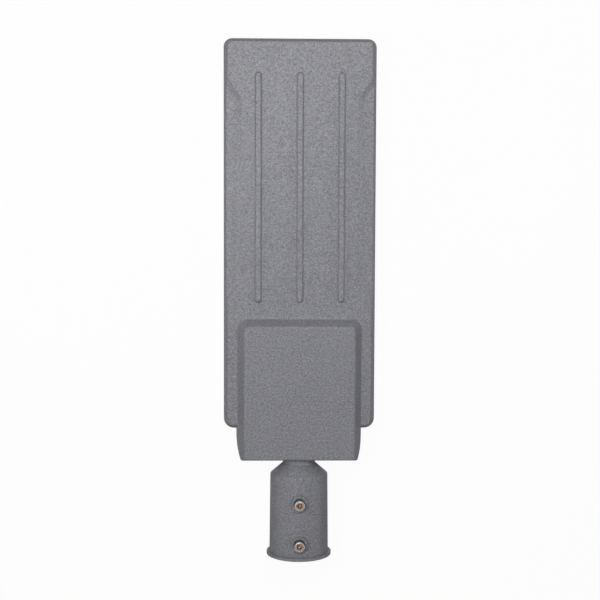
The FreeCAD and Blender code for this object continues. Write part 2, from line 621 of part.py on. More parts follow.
DRIVER_SCREW_NEAR = f"({DRIVER_MIDDLE} - driver_screw_along / 2)"
DRIVER_SCREW_FAR = f"({DRIVER_MIDDLE} + driver_screw_along / 2)"
DRIVER_SCREWS = [
    ("-driver_screw_across / 2", DRIVER_SCREW_NEAR),
    ("driver_screw_across / 2", DRIVER_SCREW_NEAR),
    ("-driver_screw_across / 2", DRIVER_SCREW_FAR),
    ("driver_screw_across / 2", DRIVER_SCREW_FAR),
]
SURGE_SCREWS = [
    ("surge_x", "surge_y - surge_screw_pitch / 2"),
    ("surge_x", "surge_y + surge_screw_pitch / 2"),
]
TERMINAL_SCREWS = [
    ("terminal_x - terminal_screw_pitch / 2", "terminal_y"),
    ("terminal_x + terminal_screw_pitch / 2", "terminal_y"),
]
EARTH_SCREW = ("earth_x", "earth_y")
seats = new_sketch(housing, "seat_plan", level=SEAT_LEVEL)
for across, along in DRIVER_SCREWS + SURGE_SCREWS + [EARTH_SCREW]:
    circle(seats, across, along, "seat_radius")
rectangle(seats, "terminal_x - terminal_screw_pitch / 2 - seat_radius",
          "terminal_x + terminal_screw_pitch / 2 + seat_radius",
          "terminal_y - seat_radius", "terminal_y + seat_radius", "seat_radius / 2", "seat_radius / 2")
pad(housing, seats, "seats", "seat_drop + box_roof / 2")
seat_holes = new_sketch(housing, "seat_hole_plan", level=SEAT_LEVEL)
for across, along in DRIVER_SCREWS + SURGE_SCREWS + TERMINAL_SCREWS + [EARTH_SCREW]:
    circle(seat_holes, across, along, "screw_radius + thread_play")
pocket(housing, seat_holes, "seat_holes", "seat_hole_depth", up=True)

lens_holes = new_sketch(housing, "lens_hole_plan", level=LAND_LEVEL)
circle(lens_holes, "-lens_screw_across / 2", LENS_SCREW_FIRST, "screw_radius + thread_play")
hole = pocket(housing, lens_holes, "lens_hole", LENS_SCREW_REACH + " + thread_play", up=True)
grid(housing, hole, "lens_holes", False, **LENS_SCREW_ROWS)
board_holes = new_sketch(housing, "board_hole_plan", level=BOARD_SEAT_LEVEL)
circle(board_holes, "-board_screw_across / 2", BOARD_SCREW_FIRST, "small_screw_radius + thread_play")
hole = pocket(housing, board_holes, "board_hole",
              "board_screw_length - board_thickness + thread_play", up=True)
grid(housing, hole, "board_holes", False, **BOARD_SCREW_ROWS)

# The end wall's seat and holes lie in the XZ plane, whose normal is -Y
neck_seat = new_sketch(housing, "neck_seat_plan", role="XZ_Plane", level="-box_start")
circle(neck_seat, "0", "0", "neck_radius + neck_seat_play")
pocket(housing, neck_seat, "neck_seat", "box_end_lean + gasket_gap", up=True)
end_wall_face = new_sketch(housing, "end_wall_plan", role="XZ_Plane", level="-box_start")
circle(end_wall_face, "0", "0", "passage_radius")
for across in (BOLT_OFFSET, "-" + BOLT_OFFSET):
    for up in (BOLT_OFFSET, "-" + BOLT_OFFSET):
        circle(end_wall_face, across, up, "bolt_radius + bolt_hole_play")
pocket(housing, end_wall_face, "end_wall_holes", "end_wall")
lead_bore = new_sketch(housing, "lead_bore_plan", role="XZ_Plane", level="-lens_bay_start")
circle(lead_bore, "0", "led_lead_rise", "led_lead_radius + led_lead_play")
pocket(housing, lead_bore, "lead_bore_near", "board_bay_inset")

# The led lead's bore runs on through the wall to the driver compartment, with the grommet's seat
lead_bore_far = new_sketch(housing, "lead_bore_far_plan", role="XZ_Plane", level="-lens_bay_start")
circle(lead_bore_far, "0", "led_lead_rise", "led_lead_radius + led_lead_play")
pocket(housing, lead_bore_far, "lead_bore_far", "lens_bay_start - box_far + wall", up=True)
channel = new_sketch(housing, "lead_channel_plan", level=BOARD_SEAT_LEVEL)
rectangle(channel, "-led_lead_radius - led_lead_play", "led_lead_radius + led_lead_play",
          "lens_bay_start + board_bay_inset - led_lead_play", BOARD_START, None, None)
pocket(housing, channel, "lead_channel",
       f"led_lead_rise + led_lead_radius + led_lead_play - {BOARD_SEAT_LEVEL}", up=True)
grommet_seat = new_sketch(housing, "grommet_seat_plan", role="XZ_Plane", level="-(box_far - wall)")
circle(grommet_seat, "0", "led_lead_rise", "grommet_radius")
pocket(housing, grommet_seat, "grommet_seat", "grommet_depth")


# Pole socket: turned outer form with its lip, clamp screw bosses, bore, funnel and bolt holes
def profile(sketch, points):
    """Closed half profile beside the sketch's upright axis, as (radius, along, rounding) formulas."""
    outline(sketch, points)


socket = new_body("pole_socket")
socket_profile = new_sketch(socket, "socket_profile")
profile(socket_profile, [
    ("0", "0", None),
    ("lip_radius", "0", "lip_mouth_round"),
    ("lip_radius", "lip_length", "lip_back_round"),
    ("socket_mouth_radius", "lip_length + lip_flare", None),
    ("socket_far_radius", "socket_shoulder", "shoulder_round"),
    ("neck_radius", "neck_start", None),
    ("neck_radius", NECK_FACE, None),
    ("0", NECK_FACE, None),
])
turned(socket, socket_profile, "socket_form")
BOSS_TOP = "(socket_mouth_radius + boss_rise)"
boss_plan = new_sketch(socket, "boss_plan", level=BOSS_TOP)
circle(boss_plan, "0", "clamp_first", "boss_radius")
first_boss = pad(socket, boss_plan, "first_boss", "boss_rise + socket_mouth_radius / 2", down=True)
grid(socket, first_boss, "bosses", True, along=("2", "clamp_pitch"))
boss_top = value(BOSS_TOP)
rounded(socket, "boss_edges", "boss_round", lambda edge: at_level(edge, boss_top))
bore_profile = new_sketch(socket, "bore_profile")
profile(bore_profile, [
    ("0", "0", None),
    ("pole_diameter / 2 + pole_clearance", "0", None),
    ("pole_diameter / 2 + pole_clearance", "bore_depth", None),
    ("pole_diameter / 2 + pole_clearance - bore_stop", "bore_depth", None),
    ("passage_radius", "funnel_end", None),
    ("passage_radius", NECK_FACE, None),
    ("0", NECK_FACE, None),
])
turned(socket, bore_profile, "bore", cut=True)
clamp_hole_plan = new_sketch(socket, "clamp_hole_plan")
circle(clamp_hole_plan, "0", "clamp_first", "clamp_radius + thread_play")
clamp_hole = pocket(socket, clamp_hole_plan, "clamp_hole", f"{BOSS_TOP} + clamp_length", up=True)
grid(socket, clamp_hole, "clamp_holes", False, along=("2", "clamp_pitch"))
bolt_holes = new_sketch(socket, "bolt_hole_plan", role="XZ_Plane", level="-" + NECK_FACE)
for across in (BOLT_OFFSET, "-" + BOLT_OFFSET):
    for up in (BOLT_OFFSET, "-" + BOLT_OFFSET):
        circle(bolt_holes, across, up, "bolt_radius + thread_play")
pocket(socket, bolt_holes, "bolt_holes", "bolt_hole_depth", up=True)


# Clamp screws: hexagon socket set screws, tips just outside the bore
CLAMP_FOOT = "(pole_diameter / 2 + pole_clearance + clamp_standoff)"


def hexagon(sketch, across, along, flats):
    """Regular hexagon about a point, with two sides square to the second axis."""
    corners = []
    for step in range(6):
        angle = math.radians(60 * step)
        corners.append((f"{across} + {flats} / sqrt(3) * {math.cos(angle):.9f}",
                        f"{along} + {flats} / sqrt(3) * {math.sin(angle):.9f}", None))
    outline(sketch, corners)


def clamp_screw(label, along):
    """Set screw on the socket's crest at a distance from the mouth."""
    body = new_body(label)
    plan = new_sketch(body, label + "_plan", level=CLAMP_FOOT)
    circle(plan, "0", along, "clamp_radius")
    pad(body, plan, label + "_form", "clamp_length")
    feature = body.newObject("PartDesign::Chamfer", label + "_ends")
    form = doc.getObject(label + "_form")
    feature.Base = (form, [f"Edge{number}" for number, edge in enumerate(form.Shape.Edges, start=1)
                           if edge.BoundBox.ZLength < 0.01])
    bind(feature, "Size", "clamp_chamfer")
    settle(body, feature, False)
    key = new_sketch(body, label + "_key_plan", level=f"{CLAMP_FOOT} + clamp_length")
    hexagon(key, "0", along, "clamp_hex")
    pocket(body, key, label + "_key", "clamp_hex_depth")


clamp_screw("clamp_screw_front", "clamp_first")
clamp_screw("clamp_screw_rear", "(clamp_first + clamp_pitch)")


# Gasket between the neck and the end wall
gasket = new_body("socket_gasket")
gasket_plan = new_sketch(gasket, "socket_gasket_plan", role="XZ_Plane", level="-box_start")
circle(gasket_plan, "0", "0", "neck_radius")
circle(gasket_plan, "0", "0", "passage_radius")
for across in (BOLT_OFFSET, "-" + BOLT_OFFSET):
    for up in (BOLT_OFFSET, "-" + BOLT_OFFSET):
        circle(gasket_plan, across, up, "bolt_radius + bolt_hole_play")
pad(gasket, gasket_plan, "socket_gasket_form", "gasket_gap")


# LED board, its packages and its connector
board = new_body("led_board")
board_plan = new_sketch(board, "board_plan", level=BOARD_FACE_LEVEL)
rectangle(board_plan, "-board_width / 2", "board_width / 2", BOARD_START, BOARD_END,
          "board_thickness", "board_thickness")
pad(board, board_plan, "board_form", "board_thickness")
board_hole_plan = new_sketch(board, "board_through_plan", level=BOARD_FACE_LEVEL)
circle(board_hole_plan, "-board_screw_across / 2", BOARD_SCREW_FIRST, "small_screw_radius + screw_hole_play")
hole = pocket(board, board_hole_plan, "board_through", "board_thickness", up=True)
grid(board, hole, "board_throughs", False, **BOARD_SCREW_ROWS)

chips = new_body("led_chips")
chip_plan = new_sketch(chips, "chip_plan", level=BOARD_FACE_LEVEL)
rectangle(chip_plan, FIRST_LED_ACROSS + " - led_side / 2", FIRST_LED_ACROSS + " + led_side / 2",
          FIRST_LED_ALONG + " - led_side / 2", FIRST_LED_ALONG + " + led_side / 2", None, None)
chip = pad(chips, chip_plan, "chip", "led_height", down=True)
grid(chips, chip, "chip_rows", True, **LED_ROWS)

connector = new_body("board_connector")
connector_plan = new_sketch(connector, "connector_plan", level=BOARD_FACE_LEVEL)
rectangle(connector_plan, "-connector_width / 2", "connector_width / 2", BOARD_START + " + connector_inset",
          BOARD_START + " + connector_inset + connector_length", None, None)
pad(connector, connector_plan, "connector_form", "connector_height", down=True)


# Lens plate with its domes, and the gasket behind it
lens = new_body("lens_plate")
lens_plan = new_sketch(lens, "lens_plan", level=PLATE_FACE_LEVEL)
rectangle(lens_plan, "-panel_width / 2 + lens_bay_wall + lens_gap",
          "panel_width / 2 - lens_bay_wall - lens_gap",
          "lens_bay_start + lens_gap", LENS_BAY_END + " - lens_gap",
          "lens_bay_corner - lens_gap", "lens_bay_corner - lens_gap")
pad(lens, lens_plan, "lens_sheet", "lens_thickness")


def dome_section(body, name, level, inset):
    """Stadium-shaped section of the first lens dome at one level, its ends just short of half round."""
    sketch = new_sketch(body, name, level=level)
    half_length = f"(dome_length / 2 - {inset})"
    half_width = f"(dome_width / 2 - {inset})"
    rectangle(sketch, f"{FIRST_LED_ACROSS} - {half_length}", f"{FIRST_LED_ACROSS} + {half_length}",
              f"{FIRST_LED_ALONG} - {half_width}", f"{FIRST_LED_ALONG} + {half_width}",
              f"{half_width} * 0.98", f"{half_width} * 0.98")
    return sketch


dome = loft(lens, [
    dome_section(lens, "dome_foot", PLATE_FACE_LEVEL, "0"),
    dome_section(lens, "dome_waist", PLATE_FACE_LEVEL + " - dome_shoulder", "dome_step"),
    dome_section(lens, "dome_crown_plan", PLATE_FACE_LEVEL + " - dome_height", "dome_crown"),
], "dome")
grid(lens, dome, "domes", True, **LED_ROWS)
lens_through_plan = new_sketch(lens, "lens_through_plan", level=PLATE_FACE_LEVEL)
circle(lens_through_plan, "-lens_screw_across / 2", LENS_SCREW_FIRST, "screw_radius + screw_hole_play")
hole = pocket(lens, lens_through_plan, "lens_through", "lens_thickness", up=True)
grid(lens, hole, "lens_throughs", False, **LENS_SCREW_ROWS)

lens_gasket = new_body("lens_gasket")
lens_gasket_plan = new_sketch(lens_gasket, "lens_gasket_plan", level=PLATE_BACK_LEVEL)
for inset in ("0", "lens_gasket_width"):
    rectangle(lens_gasket_plan, f"-lens_gasket_outer / 2 + {inset}", f"lens_gasket_outer / 2 - {inset}",
              f"lens_bay_start + lens_gasket_end + {inset}", f"{LENS_BAY_END} - lens_gasket_end - {inset}",
              f"lens_bay_corner - {inset}", f"lens_bay_corner - {inset}")
pad(lens_gasket, lens_gasket_plan, "lens_gasket_form", "lens_gasket_thickness")


# Driver compartment's cover, its gasket and the vent plug
cover = new_body("driver_cover")
cover_plan = new_sketch(cover, "cover_plan", level=COVER_FACE_LEVEL)
stern_outline(cover_plan, "box_rim_width / 2 - cover_margin", "stern_inset", "box_rim_far - cover_margin",
              "box_near_corner", "box_far_corner", near="(box_start + cover_margin)")
pad(cover, cover_plan, "cover_sheet", "cover_thickness")
field_plan = new_sketch(cover, "field_plan", level=COVER_FACE_LEVEL)
rectangle(field_plan, "-box_rim_width / 2 + cover_field_margin", "box_rim_width / 2 - cover_field_margin",
          "box_start + cover_field_margin", "box_rim_far - cover_field_margin",
          "cover_field_corner", "cover_field_corner")
pad(cover, field_plan, "cover_field", "cover_field_height", lean="cover_field_draft", down=True)
cover_through_plan = new_sketch(cover, "cover_through_plan", level=COVER_FACE_LEVEL)
circle(cover_through_plan, "-cover_screw_across / 2", "cover_screw_first", "screw_radius + screw_hole_play")
hole = pocket(cover, cover_through_plan, "cover_through", "cover_thickness", up=True)
grid(cover, hole, "cover_throughs", False, **COVER_SCREW_ROWS)
vent_hole_plan = new_sketch(cover, "vent_hole_plan", level=COVER_BACK_LEVEL)
circle(vent_hole_plan, "vent_x", "vent_y", "vent_radius + thread_play")
pocket(cover, vent_hole_plan, "vent_hole", "cover_thickness + cover_field_height")

cover_gasket = new_body("cover_gasket")
ring_plan = new_sketch(cover_gasket, "ring_plan", level=COVER_BACK_LEVEL)
stern_outline(ring_plan, "box_rim_width / 2 - cover_margin", "stern_inset", "box_rim_far - cover_margin",
              "box_near_corner", "box_far_corner", near="(box_start + cover_margin)")
stern_outline(ring_plan, "box_rim_width / 2 - rim_land", "stern_inset", "box_rim_far - rim_land",
              "compartment_corner", "compartment_corner", near="(box_start + end_wall)")
pad(cover_gasket, ring_plan, "ring", "cover_gasket_thickness")
ear_plan = new_sketch(cover_gasket, "ear_plan", level=COVER_BACK_LEVEL)
circle(ear_plan, "-cover_screw_across / 2", "cover_screw_first", "cover_boss_radius")
ear = pad(cover_gasket, ear_plan, "ear", "cover_gasket_thickness")
grid(cover_gasket, ear, "ears", True, **COVER_SCREW_ROWS)
ear_hole_plan = new_sketch(cover_gasket, "ear_hole_plan", level=COVER_BACK_LEVEL)
circle(ear_hole_plan, "-cover_screw_across / 2", "cover_screw_first", "screw_radius + screw_hole_play")
hole = pocket(cover_gasket, ear_hole_plan, "ear_hole", "cover_gasket_thickness", up=True)
grid(cover_gasket, hole, "ear_holes", False, **COVER_SCREW_ROWS)

VENT_SEAT = "(-box_rim_drop - cover_gasket_thickness - cover_thickness - cover_field_height)"
vent = new_body("vent_plug")
vent_head = new_sketch(vent, "vent_head_plan", level=VENT_SEAT + " - vent_washer_thickness")
circle(vent_head, "vent_x", "vent_y", "vent_head_radius")
pad(vent, vent_head, "vent_head", "vent_head_height", lean="vent_head_draft", down=True)
vent_thread = new_sketch(vent, "vent_thread_plan", level=VENT_SEAT + " - vent_washer_thickness")
circle(vent_thread, "vent_x", "vent_y", "vent_radius")
pad(vent, vent_thread, "vent_thread", "vent_thread_length + vent_washer_thickness")

washer = new_body("vent_washer")
washer_plan = new_sketch(washer, "vent_washer_plan", level=VENT_SEAT)
circle(washer_plan, "vent_x", "vent_y", "vent_head_radius")
circle(washer_plan, "vent_x", "vent_y", "vent_radius + thread_play")
pad(washer, washer_plan, "vent_washer_form", "vent_washer_thickness", down=True)

vent_nut = new_body("vent_nut")
vent_nut_plan = new_sketch(vent_nut, "vent_nut_plan", level=COVER_BACK_LEVEL)
hexagon(vent_nut_plan, "vent_x", "vent_y", "vent_nut_flats")
circle(vent_nut_plan, "vent_x", "vent_y", "vent_radius + thread_play")
pad(vent_nut, vent_nut_plan, "vent_nut_form", "vent_nut_height")


# LED driver: potted case hanging on its ears under the roof
EAR_FACE_LEVEL = f"({SEAT_LEVEL} - ear_thickness)"
driver = new_body("led_driver")
driver_plan = new_sketch(driver, "driver_plan", level=f"{ROOF_LEVEL} - driver_roof_gap")
rectangle(driver_plan, "-driver_length / 2", "driver_length / 2",
          "driver_start", "driver_start + driver_width", "driver_corner", "driver_corner")
pad(driver, driver_plan, "driver_case", "driver_drop", down=True)
driver_ears = new_sketch(driver, "driver_ear_plan", level=SEAT_LEVEL)
rectangle(driver_ears, "-driver_length / 2 - driver_ear", "driver_length / 2 + driver_ear",
          f"{DRIVER_MIDDLE} - driver_ear_width / 2", f"{DRIVER_MIDDLE} + driver_ear_width / 2",
          "driver_corner", "driver_corner")
pad(driver, driver_ears, "driver_ears", "ear_thickness", down=True)
driver_throughs = new_sketch(driver, "driver_through_plan", level=SEAT_LEVEL)
for across, along in DRIVER_SCREWS:
    circle(driver_throughs, across, along, "screw_radius + screw_hole_play")
pocket(driver, driver_throughs, "driver_throughs", "ear_thickness")


# Surge protector on the same kind of ears
surge = new_body("surge_protector")
surge_plan = new_sketch(surge, "surge_plan", level=SEAT_LEVEL)
rectangle(surge_plan, "surge_x - surge_width / 2", "surge_x + surge_width / 2",
          "surge_y - surge_length / 2", "surge_y + surge_length / 2", "surge_corner", "surge_corner")
pad(surge, surge_plan, "surge_case", "surge_drop + ear_thickness", down=True)
surge_ears = new_sketch(surge, "surge_ear_plan", level=SEAT_LEVEL)
rectangle(surge_ears, "surge_x - surge_ear_width / 2", "surge_x + surge_ear_width / 2",
          "surge_y - surge_screw_pitch / 2 - surge_ear_width / 2",
          "surge_y + surge_screw_pitch / 2 + surge_ear_width / 2", "surge_corner", "surge_corner")
pad(surge, surge_ears, "surge_ears", "ear_thickness", down=True)
surge_throughs = new_sketch(surge, "surge_through_plan", level=SEAT_LEVEL)
for across, along in SURGE_SCREWS:
    circle(surge_throughs, across, along, "screw_radius + screw_hole_play")
pocket(surge, surge_throughs, "surge_throughs", "ear_thickness")


# Terminal block: wire entries on both long sides, screw wells facing down
TERMINAL_FACE_LEVEL = f"({SEAT_LEVEL} - terminal_height)"
TERMINAL_NEAR = "(terminal_y - terminal_depth / 2)"
TERMINAL_FAR = "(terminal_y + terminal_depth / 2)"
terminal = new_body("terminal_block")
terminal_plan = new_sketch(terminal, "terminal_plan", level=SEAT_LEVEL)
rectangle(terminal_plan, "terminal_x - terminal_width / 2", "terminal_x + terminal_width / 2",
          TERMINAL_NEAR, TERMINAL_FAR, None, None)
pad(terminal, terminal_plan, "terminal_form", "terminal_height", down=True)
wells = new_sketch(terminal, "well_plan", level=TERMINAL_FACE_LEVEL)
for row in ("- terminal_depth / 4", "+ terminal_depth / 4"):
    for pole in ("- terminal_pole_pitch", "", "+ terminal_pole_pitch"):
        circle(wells, f"terminal_x {pole}", f"terminal_y {row}", "terminal_well_radius")
pocket(terminal, wells, "wells", "terminal_well_depth", up=True)
terminal_throughs = new_sketch(terminal, "terminal_through_plan", level=SEAT_LEVEL)
for across, along in TERMINAL_SCREWS:
    circle(terminal_throughs, across, along, "screw_radius + thread_play")
pocket(terminal, terminal_throughs, "terminal_throughs", "terminal_height")
entries = new_sketch(terminal, "entry_plan", role="XZ_Plane", level="-" + TERMINAL_NEAR)
for pole in ("- terminal_pole_pitch", "", "+ terminal_pole_pitch"):
    circle(entries, f"terminal_x {pole}", f"{SEAT_LEVEL} - supply_entry_drop", "terminal_wire_radius")
pocket(terminal, entries, "entries", "terminal_wire_depth")


# Cable gland in the end wall: body, dome nut and rubber insert, coaxial with the socket
GLAND_SHOULDER = "(box_start + end_wall)"
GLAND_NUT_START = f"({GLAND_SHOULDER} + gland_body_length)"
gland_body = new_body("gland_body")
gland_hex = new_sketch(gland_body, "gland_hex_plan", role="XZ_Plane", level="-" + GLAND_SHOULDER)
hexagon(gland_hex, "0", "0", "gland_hex")
circle(gland_hex, "0", "0", "gland_bore_radius")
pad(gland_body, gland_hex, "gland_hexagon", "gland_body_length", down=True)
gland_thread = new_sketch(gland_body, "gland_thread_plan", role="XZ_Plane", level="-" + GLAND_SHOULDER)
circle(gland_thread, "0", "0", "passage_radius - thread_play")
circle(gland_thread, "0", "0", "gland_bore_radius")
pad(gland_body, gland_thread, "gland_thread", "end_wall")

gland_nut = new_body("gland_nut")
nut_profile = new_sketch(gland_nut, "gland_nut_profile")
profile(nut_profile, [
    ("gland_bore_radius + thread_play", GLAND_NUT_START, None),
    ("gland_nut_radius", GLAND_NUT_START, None),
    ("gland_nut_radius", f"{GLAND_NUT_START} + gland_nut_length / 2", None),
    ("gland_nut_end_radius", f"{GLAND_NUT_START} + gland_nut_length", "gland_nut_round"),
    ("gland_bore_radius + thread_play", f"{GLAND_NUT_START} + gland_nut_length", None),
])
turned(gland_nut, nut_profile, "gland_nut_form")

gland_insert = new_body("gland_insert")
insert_profile = new_sketch(gland_insert, "gland_insert_profile")
profile(insert_profile, [
    ("gland_insert_radius", GLAND_NUT_START, None),
    ("gland_bore_radius", GLAND_NUT_START, None),
    ("gland_bore_radius", f"{GLAND_NUT_START} + gland_nut_length", None),
    ("gland_insert_radius", f"{GLAND_NUT_START} + gland_nut_length", None),
])
turned(gland_insert, insert_profile, "gland_insert_form")


# Earth lug: ring under the earth screw with a barrel for the lead
LUG_LEVEL = f"({SEAT_LEVEL} - lug_thickness)"
BARREL_RADIUS = "(earth_lead_radius + lead_play + lug_barrel_wall)"
BARREL_LEVEL = f"({SEAT_LEVEL} - {BARREL_RADIUS})"
lug = new_body("earth_lug")
lug_plan = new_sketch(lug, "lug_plan", level=LUG_LEVEL)
circle(lug_plan, "earth_x", "earth_y", "lug_radius")
pad(lug, lug_plan, "lug_ring", "lug_thickness")
tongue_plan = new_sketch(lug, "tongue_plan", level=LUG_LEVEL)
rectangle(tongue_plan, "earth_x + lug_radius / 2", "earth_x + lug_barrel_start + lug_barrel_length",
          f"earth_y - {BARREL_RADIUS} / 2", f"earth_y + {BARREL_RADIUS} / 2", None, None)
pad(lug, tongue_plan, "lug_tongue", "lug_thickness")
barrel_plan = new_sketch(lug, "barrel_plan", role="YZ_Plane", level="earth_x + lug_barrel_start")
circle(barrel_plan, "earth_y", BARREL_LEVEL, BARREL_RADIUS)
pad(lug, barrel_plan, "lug_barrel", "lug_barrel_length")
bore_plan = new_sketch(lug, "barrel_bore_plan", role="YZ_Plane", level="earth_x + lug_barrel_start")
circle(bore_plan, "earth_y", BARREL_LEVEL, "earth_lead_radius + lead_play")
pocket(lug, bore_plan, "barrel_bore", "lug_barrel_length", up=True)
lug_hole = new_sketch(lug, "lug_hole_plan", level=LUG_LEVEL)
circle(lug_hole, "earth_x", "earth_y", "screw_radius + screw_hole_play")
pocket(lug, lug_hole, "lug_hole", "lug_thickness", up=True)


# Grommet where the LED lead leaves the driver compartment
grommet = new_body("lead_grommet")
grommet_face = new_sketch(grommet, "grommet_plan", role="XZ_Plane", level="-(box_far - wall)")
circle(grommet_face, "0", "led_lead_rise", "grommet_radius - lead_play")
circle(grommet_face, "0", "led_lead_rise", "led_lead_radius + lead_play")
pad(grommet, grommet_face, "grommet_plug", "grommet_depth", down=True)
grommet_lip = new_sketch(grommet, "grommet_lip_plan", role="XZ_Plane", level="-(box_far - wall)")
circle(grommet_lip, "0", "led_lead_rise", "grommet_radius + grommet_lip")
circle(grommet_lip, "0", "led_lead_rise", "led_lead_radius + lead_play")
pad(grommet, grommet_lip, "grommet_flange", "grommet_lip")


# Screws: pan or cap heads with a hexagon key, in groups of like pieces
def screw(head_radius, head_height, shank_radius, shank_length):
    """Pan-head screw along +Z, with the underside of its head at the origin."""
    key = head_radius * value("key_share")
    key_depth = head_height * value("key_depth_share")
    foot_radius = head_radius * value("head_foot_share")
    head = Part.makeCone(foot_radius, head_radius, head_height, V(0, 0, -head_height))
    shank = Part.makeCylinder(shank_radius, shank_length)
    ring = [V(key * math.cos(math.radians(60 * step)), key * math.sin(math.radians(60 * step)), -head_height)
            for step in range(7)]
    recess = Part.Face(Part.makePolygon(ring)).extrude(V(0, 0, key_depth))
    return head.fuse(shank).removeSplitter().cut(recess)


def fastener_group(label, shape, places, turn=None):
    """Node of like screws, one at each place, turned from +Z where a rotation is given."""
    copies = []
    for place in places:
        copy = shape.copy()
        copy.Placement = FreeCAD.Placement(place, turn or FreeCAD.Rotation())
        copies.append(copy)
    group = doc.addObject("Part::Feature", label)
    group.Shape = Part.makeCompound(copies)
    return group


def rows(first_across, pitch_across, first_along, pitch_along, count_along, level):
    """Two columns of places, with equal steps along the lamp."""
    left, near, height = value(first_across), value(first_along), value(level)
    step_across, step_along = value(pitch_across), value(pitch_along)
    return [V(left + column * step_across, near + step * step_along, height)
            for step in range(count_along) for column in range(2)]


m_four = (value("screw_head_radius"), value("screw_head_height"), value("screw_radius"))
m_three = (value("small_head_radius"), value("small_head_height"), value("small_screw_radius"))
fastener_group("lens_screws", screw(*m_four, value("lens_screw_length")),
               rows("-lens_screw_across / 2", "lens_screw_across", LENS_SCREW_FIRST, LENS_SCREW_PITCH,
                    int(value("lens_screw_rows")), PLATE_FACE_LEVEL))
fastener_group("cover_screws", screw(*m_four, value("cover_screw_length")),
               rows("-cover_screw_across / 2", "cover_screw_across", "cover_screw_first", "cover_screw_pitch",
                    3, COVER_FACE_LEVEL))
fastener_group("board_screws", screw(*m_three, value("board_screw_length")),
               rows("-board_screw_across / 2", "board_screw_across", BOARD_SCREW_FIRST, "board_screw_pitch",
                    3, BOARD_FACE_LEVEL))


def at_places(places, level):
    """Points at (across, along) formulas and one level."""
    return [V(value(across), value(along), value(level)) for across, along in places]


seat_screw = screw(*m_four, value("seat_screw_length"))
fastener_group("driver_screws", seat_screw, at_places(DRIVER_SCREWS, EAR_FACE_LEVEL))
fastener_group("surge_screws", seat_screw, at_places(SURGE_SCREWS, EAR_FACE_LEVEL))
terminal_screw = screw(*m_four, value("terminal_screw_grip"))
fastener_group("terminal_screws", terminal_screw, at_places(TERMINAL_SCREWS, TERMINAL_FACE_LEVEL))
fastener_group("earth_screw", screw(*m_four, value("seat_hole_depth")), at_places([EARTH_SCREW], LUG_LEVEL))
bolt = screw(value("bolt_head_radius"), value("bolt_head_height"), value("bolt_radius"), value("bolt_length"))
bolt_reach = value(BOLT_OFFSET)
bolt_places = [V(across * bolt_reach, value(GLAND_SHOULDER), up * bolt_reach)
               for across in (-1, 1) for up in (-1, 1)]
fastener_group("socket_bolts", bolt, bolt_places, FreeCAD.Rotation(V(1, 0, 0), 90))


# Leads held inside: straight runs joined by arcs, each a tube in its own node
def lead_path(points, radii):
    """Wire through points, rounded at each inner point by its radius."""
    edges = []
    here = points[0]
    for before, corner, after, radius in zip(points, points[1:], points[2:], radii):
        way_in = (corner - before).normalize()
        way_out = (after - corner).normalize()
        half_turn = way_in.getAngle(way_out) / 2
        start = corner - way_in * radius * math.tan(half_turn)
        end = corner + way_out * radius * math.tan(half_turn)
        inward = (way_out - way_in).normalize()
        middle = corner + inward * (radius / math.cos(half_turn) - radius)
        edges.append(Part.LineSegment(here, start).toShape())
        edges.append(Part.Arc(start, middle, end).toShape())
        here = end
    edges.append(Part.LineSegment(here, points[-1]).toShape())
    return Part.Wire(edges)


def lead(label, radius, points, bends):
    """Round lead along a path, whose bends are formulas, checked against its section times its length."""
    radii = [value(bend) for bend in bends]
    path = lead_path(points, radii)
    section = Part.Wire(Part.makeCircle(radius, points[0], points[1] - points[0]))
    tube = path.makePipeShell([section], True, True)
    expected = math.pi * radius ** 2 * path.Length
    if abs(tube.Volume - expected) > expected * 0.001:
        raise RuntimeError(f"{label}: {tube.Volume:.1f} mm3 where {expected:.1f} is due")
    feature = doc.addObject("Part::Feature", label)
    feature.Shape = tube
    print(f"{label}: {path.Length:.0f} mm long, arcs of " + ", ".join(f"{radius:.1f}" for radius in radii))
    return feature


supply_level = value(f"{SEAT_LEVEL} - supply_entry_drop")
supply_y = value("driver_start + supply_exit_back")
driver_end = value("driver_length / 2")
supply_side = driver_end + value("supply_turn")
terminal_far = value(TERMINAL_FAR)
supply_cross = terminal_far + value("supply_approach") / 2
supply_end_x = value("terminal_x + terminal_pole_pitch")
gap = value("lead_play")
lead("supply_lead", value("supply_lead_radius"), [
    V(driver_end + gap, supply_y, supply_level),
    V(supply_side, supply_y, supply_level),
    V(supply_side, supply_cross, supply_level),
    V(supply_end_x, supply_cross, supply_level),
    V(supply_end_x, terminal_far + gap, supply_level),
], ["supply_bend", "supply_cross_bend", "supply_cross_bend"])

earth_level = value(BARREL_LEVEL)
earth_start_x = value("terminal_x - terminal_pole_pitch")
earth_end_x = value("earth_x + lug_barrel_start + lug_barrel_length / 3")
lead("earth_lead", value("earth_lead_radius"), [
    V(earth_start_x, terminal_far + gap, earth_level),
    V(earth_start_x, value("earth_y"), earth_level),
    V(earth_end_x, value("earth_y"), earth_level),
], ["earth_bend"])

surge_level = value(f"{SEAT_LEVEL} - surge_lead_drop")
surge_line = value("terminal_y - surge_lead_forward")
surge_end_x = value("surge_x + surge_width / 2") + gap
terminal_side = value("terminal_x - terminal_width / 2") - gap
surge_straight = value("surge_lead_straight")
lead("surge_lead", value("surge_lead_radius"), [
    V(surge_end_x, surge_line, surge_level),
    V(surge_end_x + surge_straight, surge_line, surge_level),
    V((surge_end_x + terminal_side) / 2, surge_line - value("surge_lead_bow"), surge_level),
    V(terminal_side - surge_straight, surge_line, surge_level),
    V(terminal_side, surge_line, surge_level),
], ["surge_bend", "surge_bend", "surge_bend"])

